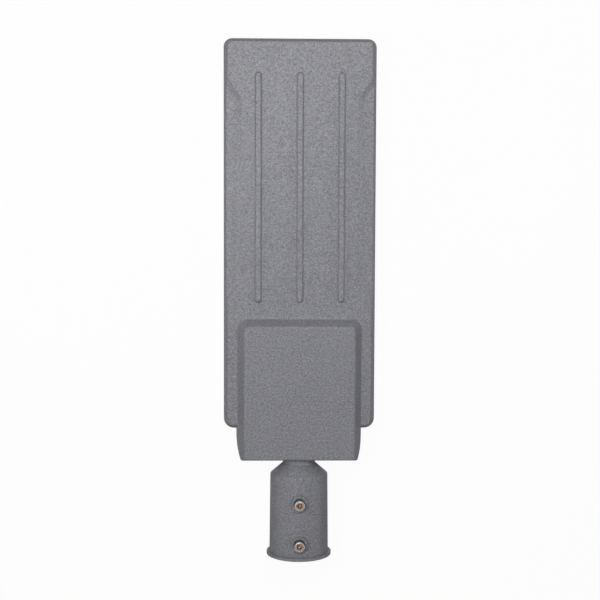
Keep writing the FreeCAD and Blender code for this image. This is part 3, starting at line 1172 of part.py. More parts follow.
lead_level = value("led_lead_rise")
led_exit_y = value("driver_start + led_exit_back")
led_side = -driver_end - value("led_turn")
cross_y = value("driver_start + driver_width + led_cross_gap")
drop_clearance = value("led_drop_clearance")
bore_end = value("lens_bay_start + board_bay_inset")
board_start = value(BOARD_START)
face_level = value(BOARD_FACE_LEVEL) - value("led_lead_radius") - gap
connector_start = board_start + value("connector_inset") - gap
lead("led_lead", value("led_lead_radius"), [
    V(-driver_end - gap, led_exit_y, lead_level),
    V(led_side, led_exit_y, lead_level),
    V(led_side, cross_y, lead_level),
    V(0, cross_y, lead_level),
    V(0, bore_end - drop_clearance, lead_level),
    V(0, board_start - drop_clearance, face_level),
    V(0, connector_start, face_level),
], ["led_bend", "led_bend", "box_far - wall - grommet_lip - driver_start - driver_width - led_cross_gap",
    "led_drop_bend", "led_drop_bend"])


# Check every object, then write each sub-part
NODES = [
    "housing", "pole_socket", "socket_gasket", "socket_bolts", "clamp_screw_front", "clamp_screw_rear",
    "led_board", "led_chips", "board_screws", "board_connector", "lens_plate", "lens_gasket", "lens_screws",
    "driver_cover", "cover_gasket", "cover_screws", "vent_plug", "vent_washer", "vent_nut",
    "led_driver", "driver_screws", "surge_protector", "surge_screws", "terminal_block", "terminal_screws",
    "gland_body", "gland_nut", "gland_insert", "earth_lug", "earth_screw", "lead_grommet",
    "supply_lead", "earth_lead", "surge_lead", "led_lead",
]
doc.recompute()
for item in doc.Objects:
    if "Invalid" in item.State or "Error" in item.State:
        raise RuntimeError(f"{item.Label} is in state {item.State}")
os.makedirs("parts", exist_ok=True)
for node in NODES:
    shape = doc.getObject(node).Shape
    if shape.isNull() or not shape.isValid() or not shape.Solids:
        raise RuntimeError(f"{node} has no valid solid")
    shape.exportStep(f"parts/{node}.step")
    print(f"{node}: {len(shape.Solids)} solid(s), {sum(solid.Volume for solid in shape.Solids):.0f} mm3")
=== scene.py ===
"""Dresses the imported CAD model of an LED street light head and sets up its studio.

Shapes are worked out in millimetres in the CAD frame: origin at the centre of the pole socket's
mouth, +Y towards the lamp's far end, +Z up. Meshes are kept in metres.
"""
import json
import math
from types import SimpleNamespace

import bpy
import numpy as np
from bpy.props import FloatProperty, FloatVectorProperty, IntProperty, PointerProperty
from mathutils import Matrix, Vector


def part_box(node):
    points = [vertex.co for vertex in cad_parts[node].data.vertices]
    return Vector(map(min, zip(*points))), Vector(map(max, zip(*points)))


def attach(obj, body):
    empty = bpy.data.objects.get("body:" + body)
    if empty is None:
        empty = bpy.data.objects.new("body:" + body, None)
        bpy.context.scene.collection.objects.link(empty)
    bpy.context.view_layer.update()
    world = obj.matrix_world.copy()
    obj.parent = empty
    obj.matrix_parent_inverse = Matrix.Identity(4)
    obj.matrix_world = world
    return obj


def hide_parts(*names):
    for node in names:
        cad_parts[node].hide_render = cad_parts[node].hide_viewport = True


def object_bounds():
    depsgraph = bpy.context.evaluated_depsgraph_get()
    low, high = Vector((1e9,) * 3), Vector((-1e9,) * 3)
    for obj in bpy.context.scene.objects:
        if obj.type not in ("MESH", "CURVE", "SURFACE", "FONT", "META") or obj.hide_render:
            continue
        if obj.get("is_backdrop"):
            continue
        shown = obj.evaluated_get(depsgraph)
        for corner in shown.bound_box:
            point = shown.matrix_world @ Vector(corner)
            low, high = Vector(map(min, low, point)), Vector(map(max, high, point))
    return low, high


bl_info = {
    "name": "LED street light head",
    "version": (1, 0, 0),
    "blender": (4, 5, 0),
    "location": "View3D > Sidebar > Street light",
    "description": "Cast housing, pole socket, lens plate, fasteners and studio of a street light head",
    "category": "Object",
}

MM = 0.001
ROOT = "root"

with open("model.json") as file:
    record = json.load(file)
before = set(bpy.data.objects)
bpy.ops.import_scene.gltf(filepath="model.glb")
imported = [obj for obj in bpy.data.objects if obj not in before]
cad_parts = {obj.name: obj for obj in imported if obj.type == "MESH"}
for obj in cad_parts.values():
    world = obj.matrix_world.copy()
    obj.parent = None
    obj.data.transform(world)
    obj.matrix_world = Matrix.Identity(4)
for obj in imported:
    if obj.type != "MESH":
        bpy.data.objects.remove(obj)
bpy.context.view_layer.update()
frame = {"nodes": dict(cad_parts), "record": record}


def corner_of(node, high, axis):
    """One coordinate of a CAD node's box, in millimetres."""
    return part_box(node)[1 if high else 0][axis] / MM


# Sizes and colours that a user would change


def length(label, default, description):
    """Length whose default is given in millimetres; Blender keeps it in metres."""
    return FloatProperty(name=label, description=description, default=default * MM, precision=5,
                         subtype="DISTANCE", unit="LENGTH")


def angle(label, default, description):
    """Angle whose default is given in degrees; Blender keeps it in radians."""
    return FloatProperty(name=label, description=description, default=math.radians(default),
                         subtype="ANGLE", unit="ROTATION")


def count(label, default, description):
    """Whole number of like pieces."""
    return IntProperty(name=label, description=description, default=default, min=1)


def share(label, default, description):
    """Number from 0 to 1."""
    return FloatProperty(name=label, description=description, default=default, min=0, max=1,
                         subtype="FACTOR")


def colour(label, default, description):
    """Colour of a finish, as linear red, green and blue."""
    return FloatVectorProperty(name=label, description=description, default=default, size=3,
                               min=0, max=1, subtype="COLOR")


def power(label, default, description):
    """Power of a lamp, in watts."""
    return FloatProperty(name=label, description=description, default=default, min=0, unit="POWER")


def brightness(label, default, description):
    """Strength of surroundings, where 1 is white."""
    return FloatProperty(name=label, description=description, default=default, min=0)


class PanelSizes(bpy.types.PropertyGroup):
    """The flat part of the casting: outer wall, side shelves and ribs"""

    start: length("Near edge", 153.3, "Socket mouth to the panel's near edge")
    end: length("Far edge", corner_of("housing", True, 1), "Socket mouth to the panel's far edge")
    half_width: length("Half width", corner_of("housing", True, 0), "Middle to the skirt")
    top: length("Top", 9, "Upper face above the socket's axis")
    depth: length("Depth", 20, "Upper face to the skirt's lower edge")
    wall_height: length("Wall height", 12, "Height of the leaning outer wall")
    wall_lean: length("Wall lean", 4.9, "Lean of the outer wall over its height")
    near_corner: length("Near corner", 12, "Corner radius at the near end")
    far_corner: length("Far corner", 10, "Corner radius at the far end")
    edge_round: length("Edge softness", 2.0, "Height over which the upper edge is rounded")
    skirt_round: length("Skirt softness", 0.8, "Rounding of the skirt's lower edge")
    shelf_ridge: length("Shelf ridge", 70, "Middle to the side shelf's ridge")
    shelf_depth: length("Shelf depth", 4, "Side shelf below the upper face")
    shelf_draft: angle("Shelf draft", 53, "Lean of the step down to a shelf")
    shelf_near: length("Shelf start", 327, "Near end of a shelf along its ridge")
    shelf_far: length("Shelf end", 548.8, "Far end of a shelf along its ridge")
    splay_near: length("Near splay", 25, "Lengthwise spread of a shelf's near end")
    splay_far: length("Far splay", 30, "Lengthwise spread of a shelf's far end")
    shelf_round: length("Shelf softness", 0.9, "Height over which the shelf's folds are rounded")
    splay_round: length("Splay softness", 1.5, "Distance over which a splay blends into the ridge")
    rib_pitch: length("Rib pitch", 49.5, "Middle rib to either side rib")
    rib_radius: length("Rib half width", 4.4, "Half of a rib's foot")
    rib_height: length("Rib height", 3.5, "Rib above the upper face")
    rib_draft: angle("Rib draft", 26.6, "Lean of a rib's flanks")
    rib_near: length("Rib start", 305.7, "Near end of the ribs")
    rib_far: length("Rib end", 578.7, "Far end of the ribs")
    rib_round: length("Rib softness", 0.7, "Height over which the ribs' folds are rounded")
    bay_start: length("Lens bay start", 298, "Socket mouth to the lens bay underneath")
    bay_wall: length("Lens bay wall", 5.5, "Wall between the lens bay and the outside")
    bay_corner: length("Lens bay corner", 8, "Corner radius of the lens bay")


class BoxSizes(bpy.types.PropertyGroup):
    """The driver box on the panel, hollow from below"""

    start: length("End wall", 119.1, "Socket mouth to the end wall at its top")
    end_lean: length("End wall lean", 3.8, "Lean of the end wall between its top and its foot")
    top: length("Top", 27, "Upper face above the socket's axis")
    rim: length("Rim", -18.5, "Lower rim, above the socket's axis")
    half_top: length("Top half width", 65.5, "Middle to the upper face's side")
    half_foot: length("Foot half width", 74.2, "Middle to the foot on the panel")
    half_rim: length("Rim half width", 76.5, "Middle to the lower rim's side")
    far_top: length("Top far edge", 278.3, "Socket mouth to the upper face's far edge")
    far_foot: length("Foot far edge", 286.3, "Socket mouth to the far foot")
    far_rim: length("Rim far edge", 288.4, "Socket mouth to the lower rim's far edge")
    stern: length("Stern length", 17, "Length over which the box draws in at its end wall")
    inset: length("Stern draw-in", 3.8, "Draw-in of foot and rim at the end wall")
    inset_top: length("Top draw-in", 0.5, "Draw-in of the upper face at the end wall")
    stern_round: length("Stern blend", 110, "Radius that blends the draw-in into the side")
    far_corner: length("Far corner", 7, "Corner radius of the rim at the far end")
    far_corner_foot: length("Far corner, foot", 11.5, "Corner radius at the far end, on the panel")
    far_corner_top: length("Far corner, top", 4.2, "Corner radius at the far end, upper face")
    near_corner: length("Near corner", 3.5, "Corner radius at the end wall")
    edge_round: length("Edge rounding", 1.9, "Rounding of the upper edge")
    foot_round: length("Foot fillet", 1.8, "Fillet between the box and the panel")
    wall: length("Wall", 3.4, "Wall of the compartment")
    end_wall: length("End wall thickness", 4, "Wall at the pole socket")
    roof: length("Roof", 3, "Metal over the compartment")
    land: length("Land", 5.5, "Width of the lower rim")
    inner_corner: length("Inner corner", 5, "Corner radius inside")
    passage: length("Passage radius", 8, "Lead passage through the end wall")
    neck_seat: length("Neck seat radius", 19.9, "Recess of the end wall round the socket's neck")
    lead_bore: length("Lead bore radius", 2, "Bore for the LED lead between the two rooms")


class SocketSizes(bpy.types.PropertyGroup):
    """The pole socket, its lip, shoulder, neck and screw bosses"""

    bore: length("Bore radius", 31, "Radius that takes the pole's end")
    depth: length("Bore depth", 90, "Depth of the bore")
    mouth: length("Mouth radius", 35.6, "Outer radius next to the lip")
    far: length("Far radius", 34.65, "Outer radius at the shoulder")
    shoulder: length("Shoulder", 98.7, "Mouth to the shoulder")
    shoulder_round: length("Shoulder rounding", 3, "Rounding of the shoulder")
    lip: length("Lip radius", -corner_of("pole_socket", False, 2) - 0.02, "Outer radius of the lip")
    lip_length: length("Lip length", 3.5, "Length of the lip")
    flare: length("Lip flare", 1.2, "Length over which the lip flares out")
    quirk: length("Lip quirk", 0.6, "Depth of the line at the lip's root")
    neck_start: length("Neck start", 111.9, "Mouth to the neck")
    neck: length("Neck radius", 19.5, "Outer radius of the neck")
    face: length("Neck face", 117.5, "Mouth to the neck's face")
    passage: length("Passage radius", 8, "Lead passage through the neck")
    funnel: length("Funnel end", 104, "Mouth to the end of the inner funnel")
    ledge: length("Ledge", 4, "Ledge that stops the pole's end")
    bolt_circle: length("Bolt circle", 15.5, "Radius on which the bolts of the neck sit")
    bolt_hole: length("Bolt hole", 2.55, "Radius of the neck's bolt holes")
    bolt_depth: length("Bolt hole depth", 15, "Depth of the bolt holes from the neck's face")
    boss: length("Boss radius", 10, "Boss round a clamp screw")
    boss_rise: length("Boss rise", 3, "Boss above the socket's crest")
    boss_round: length("Boss softness", 0.7, "Rounding of the boss's edge and foot")
    first_screw: length("First screw", 20, "Mouth to the first clamp screw")
    screw_pitch: length("Screw pitch", 49, "First to second clamp screw")
    screw: length("Screw radius", 6, "Clamp screw's thread radius")
    screw_foot: length("Screw tip", 31.2, "Screw's tip above the axis")
    screw_length: length("Screw length", 16, "Clamp screw's length")
    pitch: length("Thread pitch", 1.75, "Pitch of the clamp screw's thread")
    thread: length("Thread depth", 0.95, "Depth of the clamp screw's thread")
    chamfer: length("Chamfer", 0.9, "Chamfer on the clamp screw's ends")
    countersink: length("Countersink", 1.3, "Chamfer of the screw holes")
    key: length("Key", 6, "Hexagon across its flats")
    key_depth: length("Key depth", 6.5, "Depth of the hexagon")


class LensSizes(bpy.types.PropertyGroup):
    """The clear lens plate with a dome over each LED"""

    half_width: length("Half width", corner_of("lens_plate", True, 0), "Middle to the plate's side")
    start: length("Near edge", corner_of("lens_plate", False, 1), "Socket mouth to the near edge")
    end: length("Far edge", corner_of("lens_plate", True, 1), "Socket mouth to the far edge")
    back: length("Back", corner_of("lens_plate", True, 2), "Plate's back above the socket's axis")
    thickness: length("Thickness", 3, "Plate without its domes")
    corner: length("Corner", 7.2, "Corner radius")
    edge: length("Edge rounding", 0.5, "Rounding of the plate's edges")
    columns: count("Columns", 4, "Domes across the lamp")
    rows: count("Rows", 12, "Domes along the lamp")
    pitch_across: length("Pitch across", 30, "From dome to dome across the lamp")
    pitch_along: length("Pitch along", 23, "From dome to dome along the lamp")
    middle: length("Middle", 456, "Socket mouth to the middle of the domes")
    dome_across: length("Dome across", 23, "A dome's size across the lamp")
    dome_along: length("Dome along", 17, "A dome's size along the lamp")
    dome_height: length("Dome height", 5.4, "Height of a dome below the plate")


class CoverSizes(bpy.types.PropertyGroup):
    """The driver compartment's cover and its vent plug"""

    half_width: length("Half width", corner_of("driver_cover", True, 0), "Middle to the cover's side")
    start: length("Near edge", corner_of("driver_cover", False, 1), "Socket mouth to the near edge")
    end: length("Far edge", corner_of("driver_cover", True, 1), "Socket mouth to the far edge")
    back: length("Back", corner_of("driver_cover", True, 2), "Cover's back above the socket's axis")
    thickness: length("Thickness", 3, "Cover outside its raised field")
    edge: length("Edge rounding", 0.7, "Rounding of the cover's edges")
    field_margin: length("Field margin", 16.4, "Cover's side to its raised field")
    field_height: length("Field height", 1.2, "Raised field below the cover's face")
    field_corner: length("Field corner", 8, "Corner radius of the raised field")
    vent_across: length("Vent across", 40, "Middle to the vent plug")
    vent_along: length("Vent along", 158, "Socket mouth to the vent plug")
    vent_radius: length("Vent radius", 8.5, "Radius of the vent plug's head")
    vent_height: length("Vent height", 4, "Height of the vent plug's head")
    vent_washer: length("Vent washer", 1, "Thickness of the washer under the head")
    vent_thread: length("Vent thread", 6, "Radius of the vent plug's thread")


class ScrewSizes(bpy.types.PropertyGroup):
    """Pan-head screws of the lens plate, the cover and the LED board"""

    head: length("Head radius", 3.8, "Large screw's head radius")
    head_height: length("Head height", 2.4, "Large screw's head height")
    shank: length("Shank radius", 2, "Large screw's shank radius")
    hole: length("Hole radius", 2.3, "Holes in the plates")
    lens_grip: length("Lens screw", 8, "Length of a lens screw under its head")
    lens_across: length("Lens screws across", 161, "Between the two rows of lens screws")
    lens_first: length("First lens screw", 307, "Socket mouth to the first lens screw")
    lens_pitch: length("Lens screw pitch", 59.6, "From lens screw to lens screw")
    cover_grip: length("Cover screw", 12, "Length of a cover screw under its head")
    cover_across: length("Cover screws across", 133, "Between the two rows of cover screws")
    cover_first: length("First cover screw", 130, "Socket mouth to the first cover screw")
    cover_pitch: length("Cover screw pitch", 73.5, "From cover screw to cover screw")
    small_head: length("Small head radius", 2.75, "Board screw's head radius")
    small_height: length("Small head height", 1.8, "Board screw's head height")
    small_shank: length("Small shank radius", 1.5, "Board screw's shank radius")
    board_grip: length("Board screw", 5, "Length of a board screw under its head")
    board_across: length("Board screws across", 120, "Between the two rows of board screws")
    board_first: length("First board screw", 326, "Socket mouth to the first board screw")
    board_pitch: length("Board screw pitch", 130, "From board screw to board screw")


class FinishColours(bpy.types.PropertyGroup):
    """Colours of the finishes, and how strongly they vary"""

    coat: colour("Powder coat", (0.262, 0.264, 0.288), "Grey powder coat on the castings")
    coat_speckle: share("Speckle", 0.50, "Contrast of the powder coat's fine speckle")
    coat_relief: share("Relief", 0.32, "Strength of the powder coat's grain relief")
    steel: colour("Stainless steel", (0.66, 0.62, 0.59), "Screws")
    # Key: brown that is painted reflection in the clamp screws' hexagon
    key: colour("Key", (0.62, 0.36, 0.22), "Inside of the clamp screws' hexagon")
    # Thread: dark colour that is painted shade on the clamp screws' sides, not a finish of the steel
    thread: colour("Thread", (0.10, 0.098, 0.095), "Clamp screws' thread")
    rubber: colour("Rubber", (0.018, 0.018, 0.019), "Gaskets and grommet")
    mask: colour("Solder mask", (0.82, 0.83, 0.82), "LED board")
    pads: colour("Pads", (0.62, 0.58, 0.50), "LED board round each LED")
    led: colour("LED body", (0.80, 0.79, 0.75), "LED packages' body")
    phosphor: colour("Phosphor", (0.86, 0.66, 0.16), "LED packages' light face")
    lens: colour("Lens", (0.97, 0.98, 0.985), "Clear lens plate")
    plastic: colour("Black plastic", (0.022, 0.022, 0.024), "Vent plug, gland and surge protector")
    pale_plastic: colour("Pale plastic", (0.75, 0.74, 0.70), "Terminal block and board connector")
    driver: colour("Driver case", (0.60, 0.61, 0.63), "Driver's aluminium case")
    brass: colour("Tinned brass", (0.66, 0.62, 0.54), "Earth lug")
    sheath: colour("Lead sheath", (0.03, 0.03, 0.032), "Leads' sheath")
    earth: colour("Earth sheath", (0.10, 0.36, 0.05), "Earth lead's sheath")


class StageSettings(bpy.types.PropertyGroup):
    """Camera, lamps and floor"""

    reach: length("Camera distance", 1313.7, "Camera to the panel's upper face")
    tilt: angle("Camera tilt", 3.6, "Lean of the view towards the lamp's far end")
    lean: angle("Camera lean", 1.4, "Lean of the view to the left")
    roll: angle("Camera roll", 0.2, "Turn of the view about its own axis")
    aim_across: length("Aim across", 0.4, "Point in the picture's middle, across")
    aim_along: length("Aim along", 309.3, "Point in the picture's middle, from the socket's mouth")
    lens: FloatProperty(name="Lens", description="Focal length on a 36 mm sensor", default=66,
                        unit="CAMERA")
    far: power("Far lamp", 13.8, "The wide lamp above the far end")
    near: power("Near lamps", 0.8, "Each of the two lamps above the socket")
    low: power("Low lamps", 0.13, "Each of the two low lamps at the sides")
    under: power("Under lamp", 16, "The lamp below the floor")
    ambient: brightness("Ambient", 0.18, "The even light all round")
    ceiling: brightness("Ceiling", 0.08, "The ceiling that gloss reflects")
    floor_gloss: share("Floor in gloss", 0.18, "Share of the floor's white that gloss reflects")
    floor_white: share("Floor white", 0.955, "White of the floor under the lamp, to the camera")


def sizes(group):
    """A property group's values, with its lengths in millimetres."""
    found = {}
    for prop in group.bl_rna.properties:
        if prop.identifier in {"rna_type", "name"}:
            continue
        number = getattr(group, prop.identifier)
        found[prop.identifier] = number / MM if prop.subtype == "DISTANCE" else number
    return SimpleNamespace(**found)


# Surfaces as whole arrays


def soft_min(first, second, reach):
    """Smaller of two heights; where they differ by less than reach, a parabola rounds the fold."""
    blend = np.clip(0.5 + 0.5 * (second - first) / reach, 0, 1)
    return second + (first - second) * blend - reach * blend * (1 - blend)


def soft_max(first, second, reach):
    """Larger of two heights, rounded as soft_min is."""
    return -soft_min(-first, -second, reach)


def smooth_step(number, low, high):
    """Cubic rise from 0 at low to 1 at high."""
    share_done = np.clip((number - low) / (high - low), 0, 1)
    return share_done * share_done * (3 - 2 * share_done)


def rounded_outline(corners, radii, steps=8):
    """Polygon with arcs at its corners: (corner count * (steps + 1), 2) points.

    With unit directions u into and v out of a corner and t the signed turn between them, the arc's
    centre is corner - u r tan(|t| / 2) + n r, n being the normal on the turn's side, and its points
    are centre + r (cos a, sin a) while a runs through t.
    """
    corners = np.asarray(corners, float)
    radii = np.broadcast_to(np.asarray(radii, float), len(corners))[:, None]
    way_in = corners - np.roll(corners, 1, axis=0)
    way_in /= np.linalg.norm(way_in, axis=1, keepdims=True)
    way_out = np.roll(way_in, -1, axis=0)
    turn = np.arctan2(way_in[:, 0] * way_out[:, 1] - way_in[:, 1] * way_out[:, 0],
                      (way_in * way_out).sum(axis=1))[:, None]
    side = np.sign(turn)
    normal = np.stack([-way_in[:, 1], way_in[:, 0]], axis=1) * side
    centre = corners - way_in * radii * np.tan(np.abs(turn) / 2) + normal * radii
    start = np.arctan2(-normal[:, 1], -normal[:, 0])[:, None]
    angles = start + turn * np.linspace(0, 1, steps + 1)
    arcs = centre[:, None] + radii[:, :, None] * np.stack([np.cos(angles), np.sin(angles)], axis=2)
    return arcs.reshape(-1, 2)


def circle_points(radius, steps):
    """Points round the origin: radius (cos a, sin a)."""
    angles = np.linspace(0, 2 * math.pi, steps, endpoint=False)
    return np.stack([np.cos(angles), np.sin(angles)], axis=1) * np.asarray(radius).reshape(-1, 1)


def block_plan(left, right, near, far, radius, steps=6):
    """Outline of a rectangle with round corners."""
    return rounded_outline([(left, near), (right, near), (right, far), (left, far)], radius, steps)


def hexagon_radii(flats, steps):
    """Radii of a hexagon at even angles a: flats / 2 / cos(a's distance from a flat's middle)."""
    angles = np.linspace(0, 2 * math.pi, steps, endpoint=False)
    return flats / 2 / np.cos(angles % (math.pi / 3) - math.pi / 6)


def at_height(plan, height):
    """Plan points lifted to a height, which is one number or one for each point."""
    return np.column_stack([plan, np.broadcast_to(height, len(plan))])


def grid_faces(rows, columns, wrap_rows=False, wrap_columns=False):
    """Quads of a grid whose points are numbered row by row."""
    row = np.arange(rows if wrap_rows else rows - 1)[:, None]
    column = np.arange(columns if wrap_columns else columns - 1)[None]
    next_row, next_column = (row + 1) % rows, (column + 1) % columns
    quads = np.stack([row * columns + column, row * columns + next_column,
                      next_row * columns + next_column, next_row * columns + column], axis=-1)
    return quads.reshape(-1, 4)


def stack(loops):
    """Closed shell through loops of equal count, flat at both ends: (points, quads, caps)."""
    loops = np.asarray(loops, float)
    levels, steps = loops.shape[:2]
    first = np.arange(steps)
    caps = [first[::-1], first + (levels - 1) * steps]
    return outward(loops.reshape(-1, 3), grid_faces(levels, steps, wrap_columns=True), caps)


def prism(plan, low, high):
    """Upright form over a plan, between two levels."""
    return stack([at_height(plan, low), at_height(plan, high)])


def along_axis(radius, start, end, centre=(0.0, 0.0), steps=48):
    """Cylinder whose axis is parallel to Y, through a centre (x, z)."""
    plan = circle_points(radius, steps)
    return stack([np.column_stack([centre[0] + plan[:, 0], np.full(steps, along), centre[1] + plan[:, 1]])
                  for along in (start, end)])


def places(across, columns, first, pitch, rows, height=0.0):
    """Places of like pieces: columns spread evenly over a width, rows at a pitch from the first."""
    x, y = np.meshgrid(np.linspace(-across / 2, across / 2, columns), first + pitch * np.arange(rows))
    return np.column_stack([x.ravel(), y.ravel(), np.full(x.size, height)])


def turned(profile, steps):
    """Closed profile of (radius, along) points turned about the Y axis.

    x = radius sin a, z = radius cos a, y = along.
    """
    profile = np.asarray(profile, float)
    angles = np.linspace(0, 2 * math.pi, steps, endpoint=False)[:, None]
    points = np.stack([profile[:, 0] * np.sin(angles),
                       np.broadcast_to(profile[:, 1], (steps, len(profile))),
                       profile[:, 0] * np.cos(angles)], axis=-1)
    quads = grid_faces(steps, len(profile), wrap_rows=True, wrap_columns=True)
    return outward(points.reshape(-1, 3), quads)


def outward(points, quads, caps=()):
    """The shell with its faces turned outwards, judged by its signed volume.

    The volume is the sum of p . (q x r) / 6 over the triangles that the faces fan out into.
    """
    fans = [quads[:, :3], quads[:, [0, 2, 3]]]
    fans += [np.stack([np.full(len(cap) - 2, cap[0]), cap[1:-1], cap[2:]], axis=1) for cap in caps]
    first, second, third = np.moveaxis(points[np.concatenate(fans)], 1, 0)
    if np.einsum("ij,ij->", first, np.cross(second, third)) < 0:
        return points, quads[:, ::-1], [cap[::-1] for cap in caps]
    return points, quads, list(caps)


def merged(shells):
    """Several shells as one."""
    starts = np.cumsum([0] + [len(shell[0]) for shell in shells[:-1]])
    return (np.concatenate([shell[0] for shell in shells]),
            np.concatenate([shell[1] + start for shell, start in zip(shells, starts)]),
            [cap + start for shell, start in zip(shells, starts) for cap in shell[2]])


def moved(shell, offsets):
    """Copies of a shell at several offsets, as one shell."""
    return merged([(shell[0] + np.asarray(offset, float), *shell[1:]) for offset in offsets])


def mesh_object(name, shell):
    """Object at the origin whose mesh holds a shell, in metres."""
    points, quads, caps = shell
    mesh = bpy.data.meshes.new(name)
    mesh.from_pydata(points * MM, [], quads.tolist() + [cap.tolist() for cap in caps])
    mesh.update()
    piece = bpy.data.objects.new(name, mesh)
    bpy.context.scene.collection.objects.link(piece)
    return piece


def combined(piece, others, operation):
    """Exact union with or cut by other objects, which are used up."""
    for other in others:
        step = piece.modifiers.new(operation.lower(), "BOOLEAN")
        step.operation = operation
        step.solver = "EXACT"
        step.object = other
    settled = bpy.data.meshes.new_from_object(
        piece.evaluated_get(bpy.context.evaluated_depsgraph_get()))
    piece.modifiers.clear()
    spent = piece.data
    piece.data = settled
    bpy.data.meshes.remove(spent)
    settled.name = piece.name
    for other in others:
        spent = other.data
        bpy.data.objects.remove(other)
        bpy.data.meshes.remove(spent)


def finished(piece, materials, nodes, crease=30):
    """Smooth shading with creases, finish, body and the CAD nodes that the piece stands for."""
    mesh = piece.data
    mesh.materials.clear()
    for material in materials:
        mesh.materials.append(material)
    mesh.shade_smooth()
    mesh.set_sharp_from_angle(angle=math.radians(crease))
    flatten = piece.modifiers.new("even_normals", "WEIGHTED_NORMAL")
    flatten.keep_sharp = True
    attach(piece, ROOT)
    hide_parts(*nodes)


# Casting: panel


def shelf_distance(panel, across, along):
    """Distance into a side shelf from its ridge: least of those to its three straight edges."""
    reach = panel.half_width - panel.shelf_ridge
    side = across - panel.shelf_ridge
    near = (side * panel.splay_near + (along - panel.shelf_near) * reach) / math.hypot(
        panel.splay_near, reach)
    far = (side * panel.splay_far - (along - panel.shelf_far) * reach) / math.hypot(
        panel.splay_far, reach)
    return soft_min(soft_min(side, near, panel.splay_round), far, panel.splay_round)


def shelf_line(panel, distance, along):
    """Where a line at some distance into the shelf crosses each row: largest of three lines."""
    reach = panel.half_width - panel.shelf_ridge
    near = distance * math.hypot(panel.splay_near, reach) - (along - panel.shelf_near) * reach
    far = distance * math.hypot(panel.splay_far, reach) + (along - panel.shelf_far) * reach
    near, far = near / panel.splay_near, far / panel.splay_far
    return panel.shelf_ridge + np.maximum(distance, np.maximum(near, far))


def panel_height(panel, across, along, inward):
    """Upper face: level less the shelves' ramp plus the ribs' ramp, cut by the leaning wall.

    Each ramp is a distance divided by the tangent of its draft, between 0 and its full height,
    with soft folds. The wall rises by its height over its lean with the distance inward.
    """
    ramp = shelf_distance(panel, np.abs(across), along) / math.tan(panel.shelf_draft)
    shelf = soft_min(soft_max(ramp, 0, panel.shelf_round), panel.shelf_depth, panel.shelf_round)
    middle = np.round(np.clip(across / panel.rib_pitch, -1, 1)) * panel.rib_pitch
    beside = across - middle
    beyond = along - np.clip(along, panel.rib_near + panel.rib_radius, panel.rib_far - panel.rib_radius)
    flank = (panel.rib_radius - np.hypot(beside, beyond)) / math.tan(panel.rib_draft)
    rib = soft_min(soft_max(flank, 0, panel.rib_round), panel.rib_height, panel.rib_round)
    face = panel.top - shelf + rib
    wall = panel.top - panel.wall_height + inward * panel.wall_height / panel.wall_lean
    return soft_min(wall, face, panel.edge_round)


def panel_lines(panel, inset):
    """Rows along the lamp, columns across it, and where the corners' arcs have their centres.

    Both are close together where the face folds. Columns are a grid (row, column); on the shelves
    they follow the ramp's own level lines. In an arc's rows they are drawn in, to r - r cos t from
    the end and sqrt(r^2 - d^2) across, d being the row's distance from the centre.
    """
    rib_step, shelf_step, splay, least_gap = 0.75, 0.7, 11, 0.12
    spread = np.array([0, 1.2, 2.0, 2.4, 2.8, 3.2, 3.6, 4.0, 4.3, 4.7, 5.2, 6.5])
    rib = np.unique(np.concatenate([-spread, spread]))
    near_arc = panel.near_corner - inset
    far_arc = panel.far_corner - inset
    turns = np.linspace(0, math.pi / 2, 7)
    first, last = panel.start + inset, panel.end - inset
    near_centre, far_centre = first + near_arc, last - far_arc
    ribs_near, ribs_far = panel.rib_near - 3.7, panel.rib_far + 6.3
    shelf_near, shelf_far = panel.shelf_near - 3, panel.shelf_far - 1.8
    rows = np.unique(np.round(np.concatenate([
        first + near_arc * (1 - np.cos(turns)), np.linspace(near_centre, ribs_near - 2, 14),
        np.arange(ribs_near, shelf_near, rib_step), np.arange(shelf_near, shelf_near + splay, shelf_step),
        np.linspace(shelf_near + splay + 1, shelf_far - 1, 20),
        np.arange(shelf_far, shelf_far + splay, shelf_step),
        np.arange(shelf_far + splay + 0.5, ribs_far, rib_step), np.linspace(ribs_far + 1, far_centre, 5),
        last - far_arc * (1 - np.cos(turns))]), 3))
    half = panel.half_width - inset
    width = np.full(len(rows), half)
    for arc, into in ((near_arc, near_centre - rows), (far_arc, rows - far_centre)):
        drawn_in = half - arc + np.sqrt(np.maximum(0, arc ** 2 - into ** 2))
        width = np.where(into > 0, drawn_in, width)
    # across the ribs, with plain columns between them and out to the shelf
    middle = np.unique(np.concatenate([spread, [12, 22, 32, 40], panel.rib_pitch + rib, [60, 65]]))
    foot = panel.shelf_depth * math.tan(panel.shelf_draft)
    levels = np.array([-1.6, -1.0, -0.5, 0, 0.5, 1.0, 1.7, foot / 2, foot - 1.5, foot - 0.9, foot - 0.45,
                       foot, foot + 0.5, foot + 1.1, foot + 2])
    ramp = shelf_line(panel, levels[None], rows[:, None])
    ramp = np.minimum(ramp, half - least_gap * np.arange(len(levels) + 2, 2, -1))
    outer = ramp[:, -1:] + (half - ramp[:, -1:]) * np.array([0.3, 0.65, 1.0])
    right = np.concatenate([np.broadcast_to(middle, (len(rows), len(middle))), ramp, outer], axis=1)
    right = right * (width / half)[:, None]
    return rows, np.concatenate([-right[:, :0:-1], right], axis=1), near_centre, far_centre


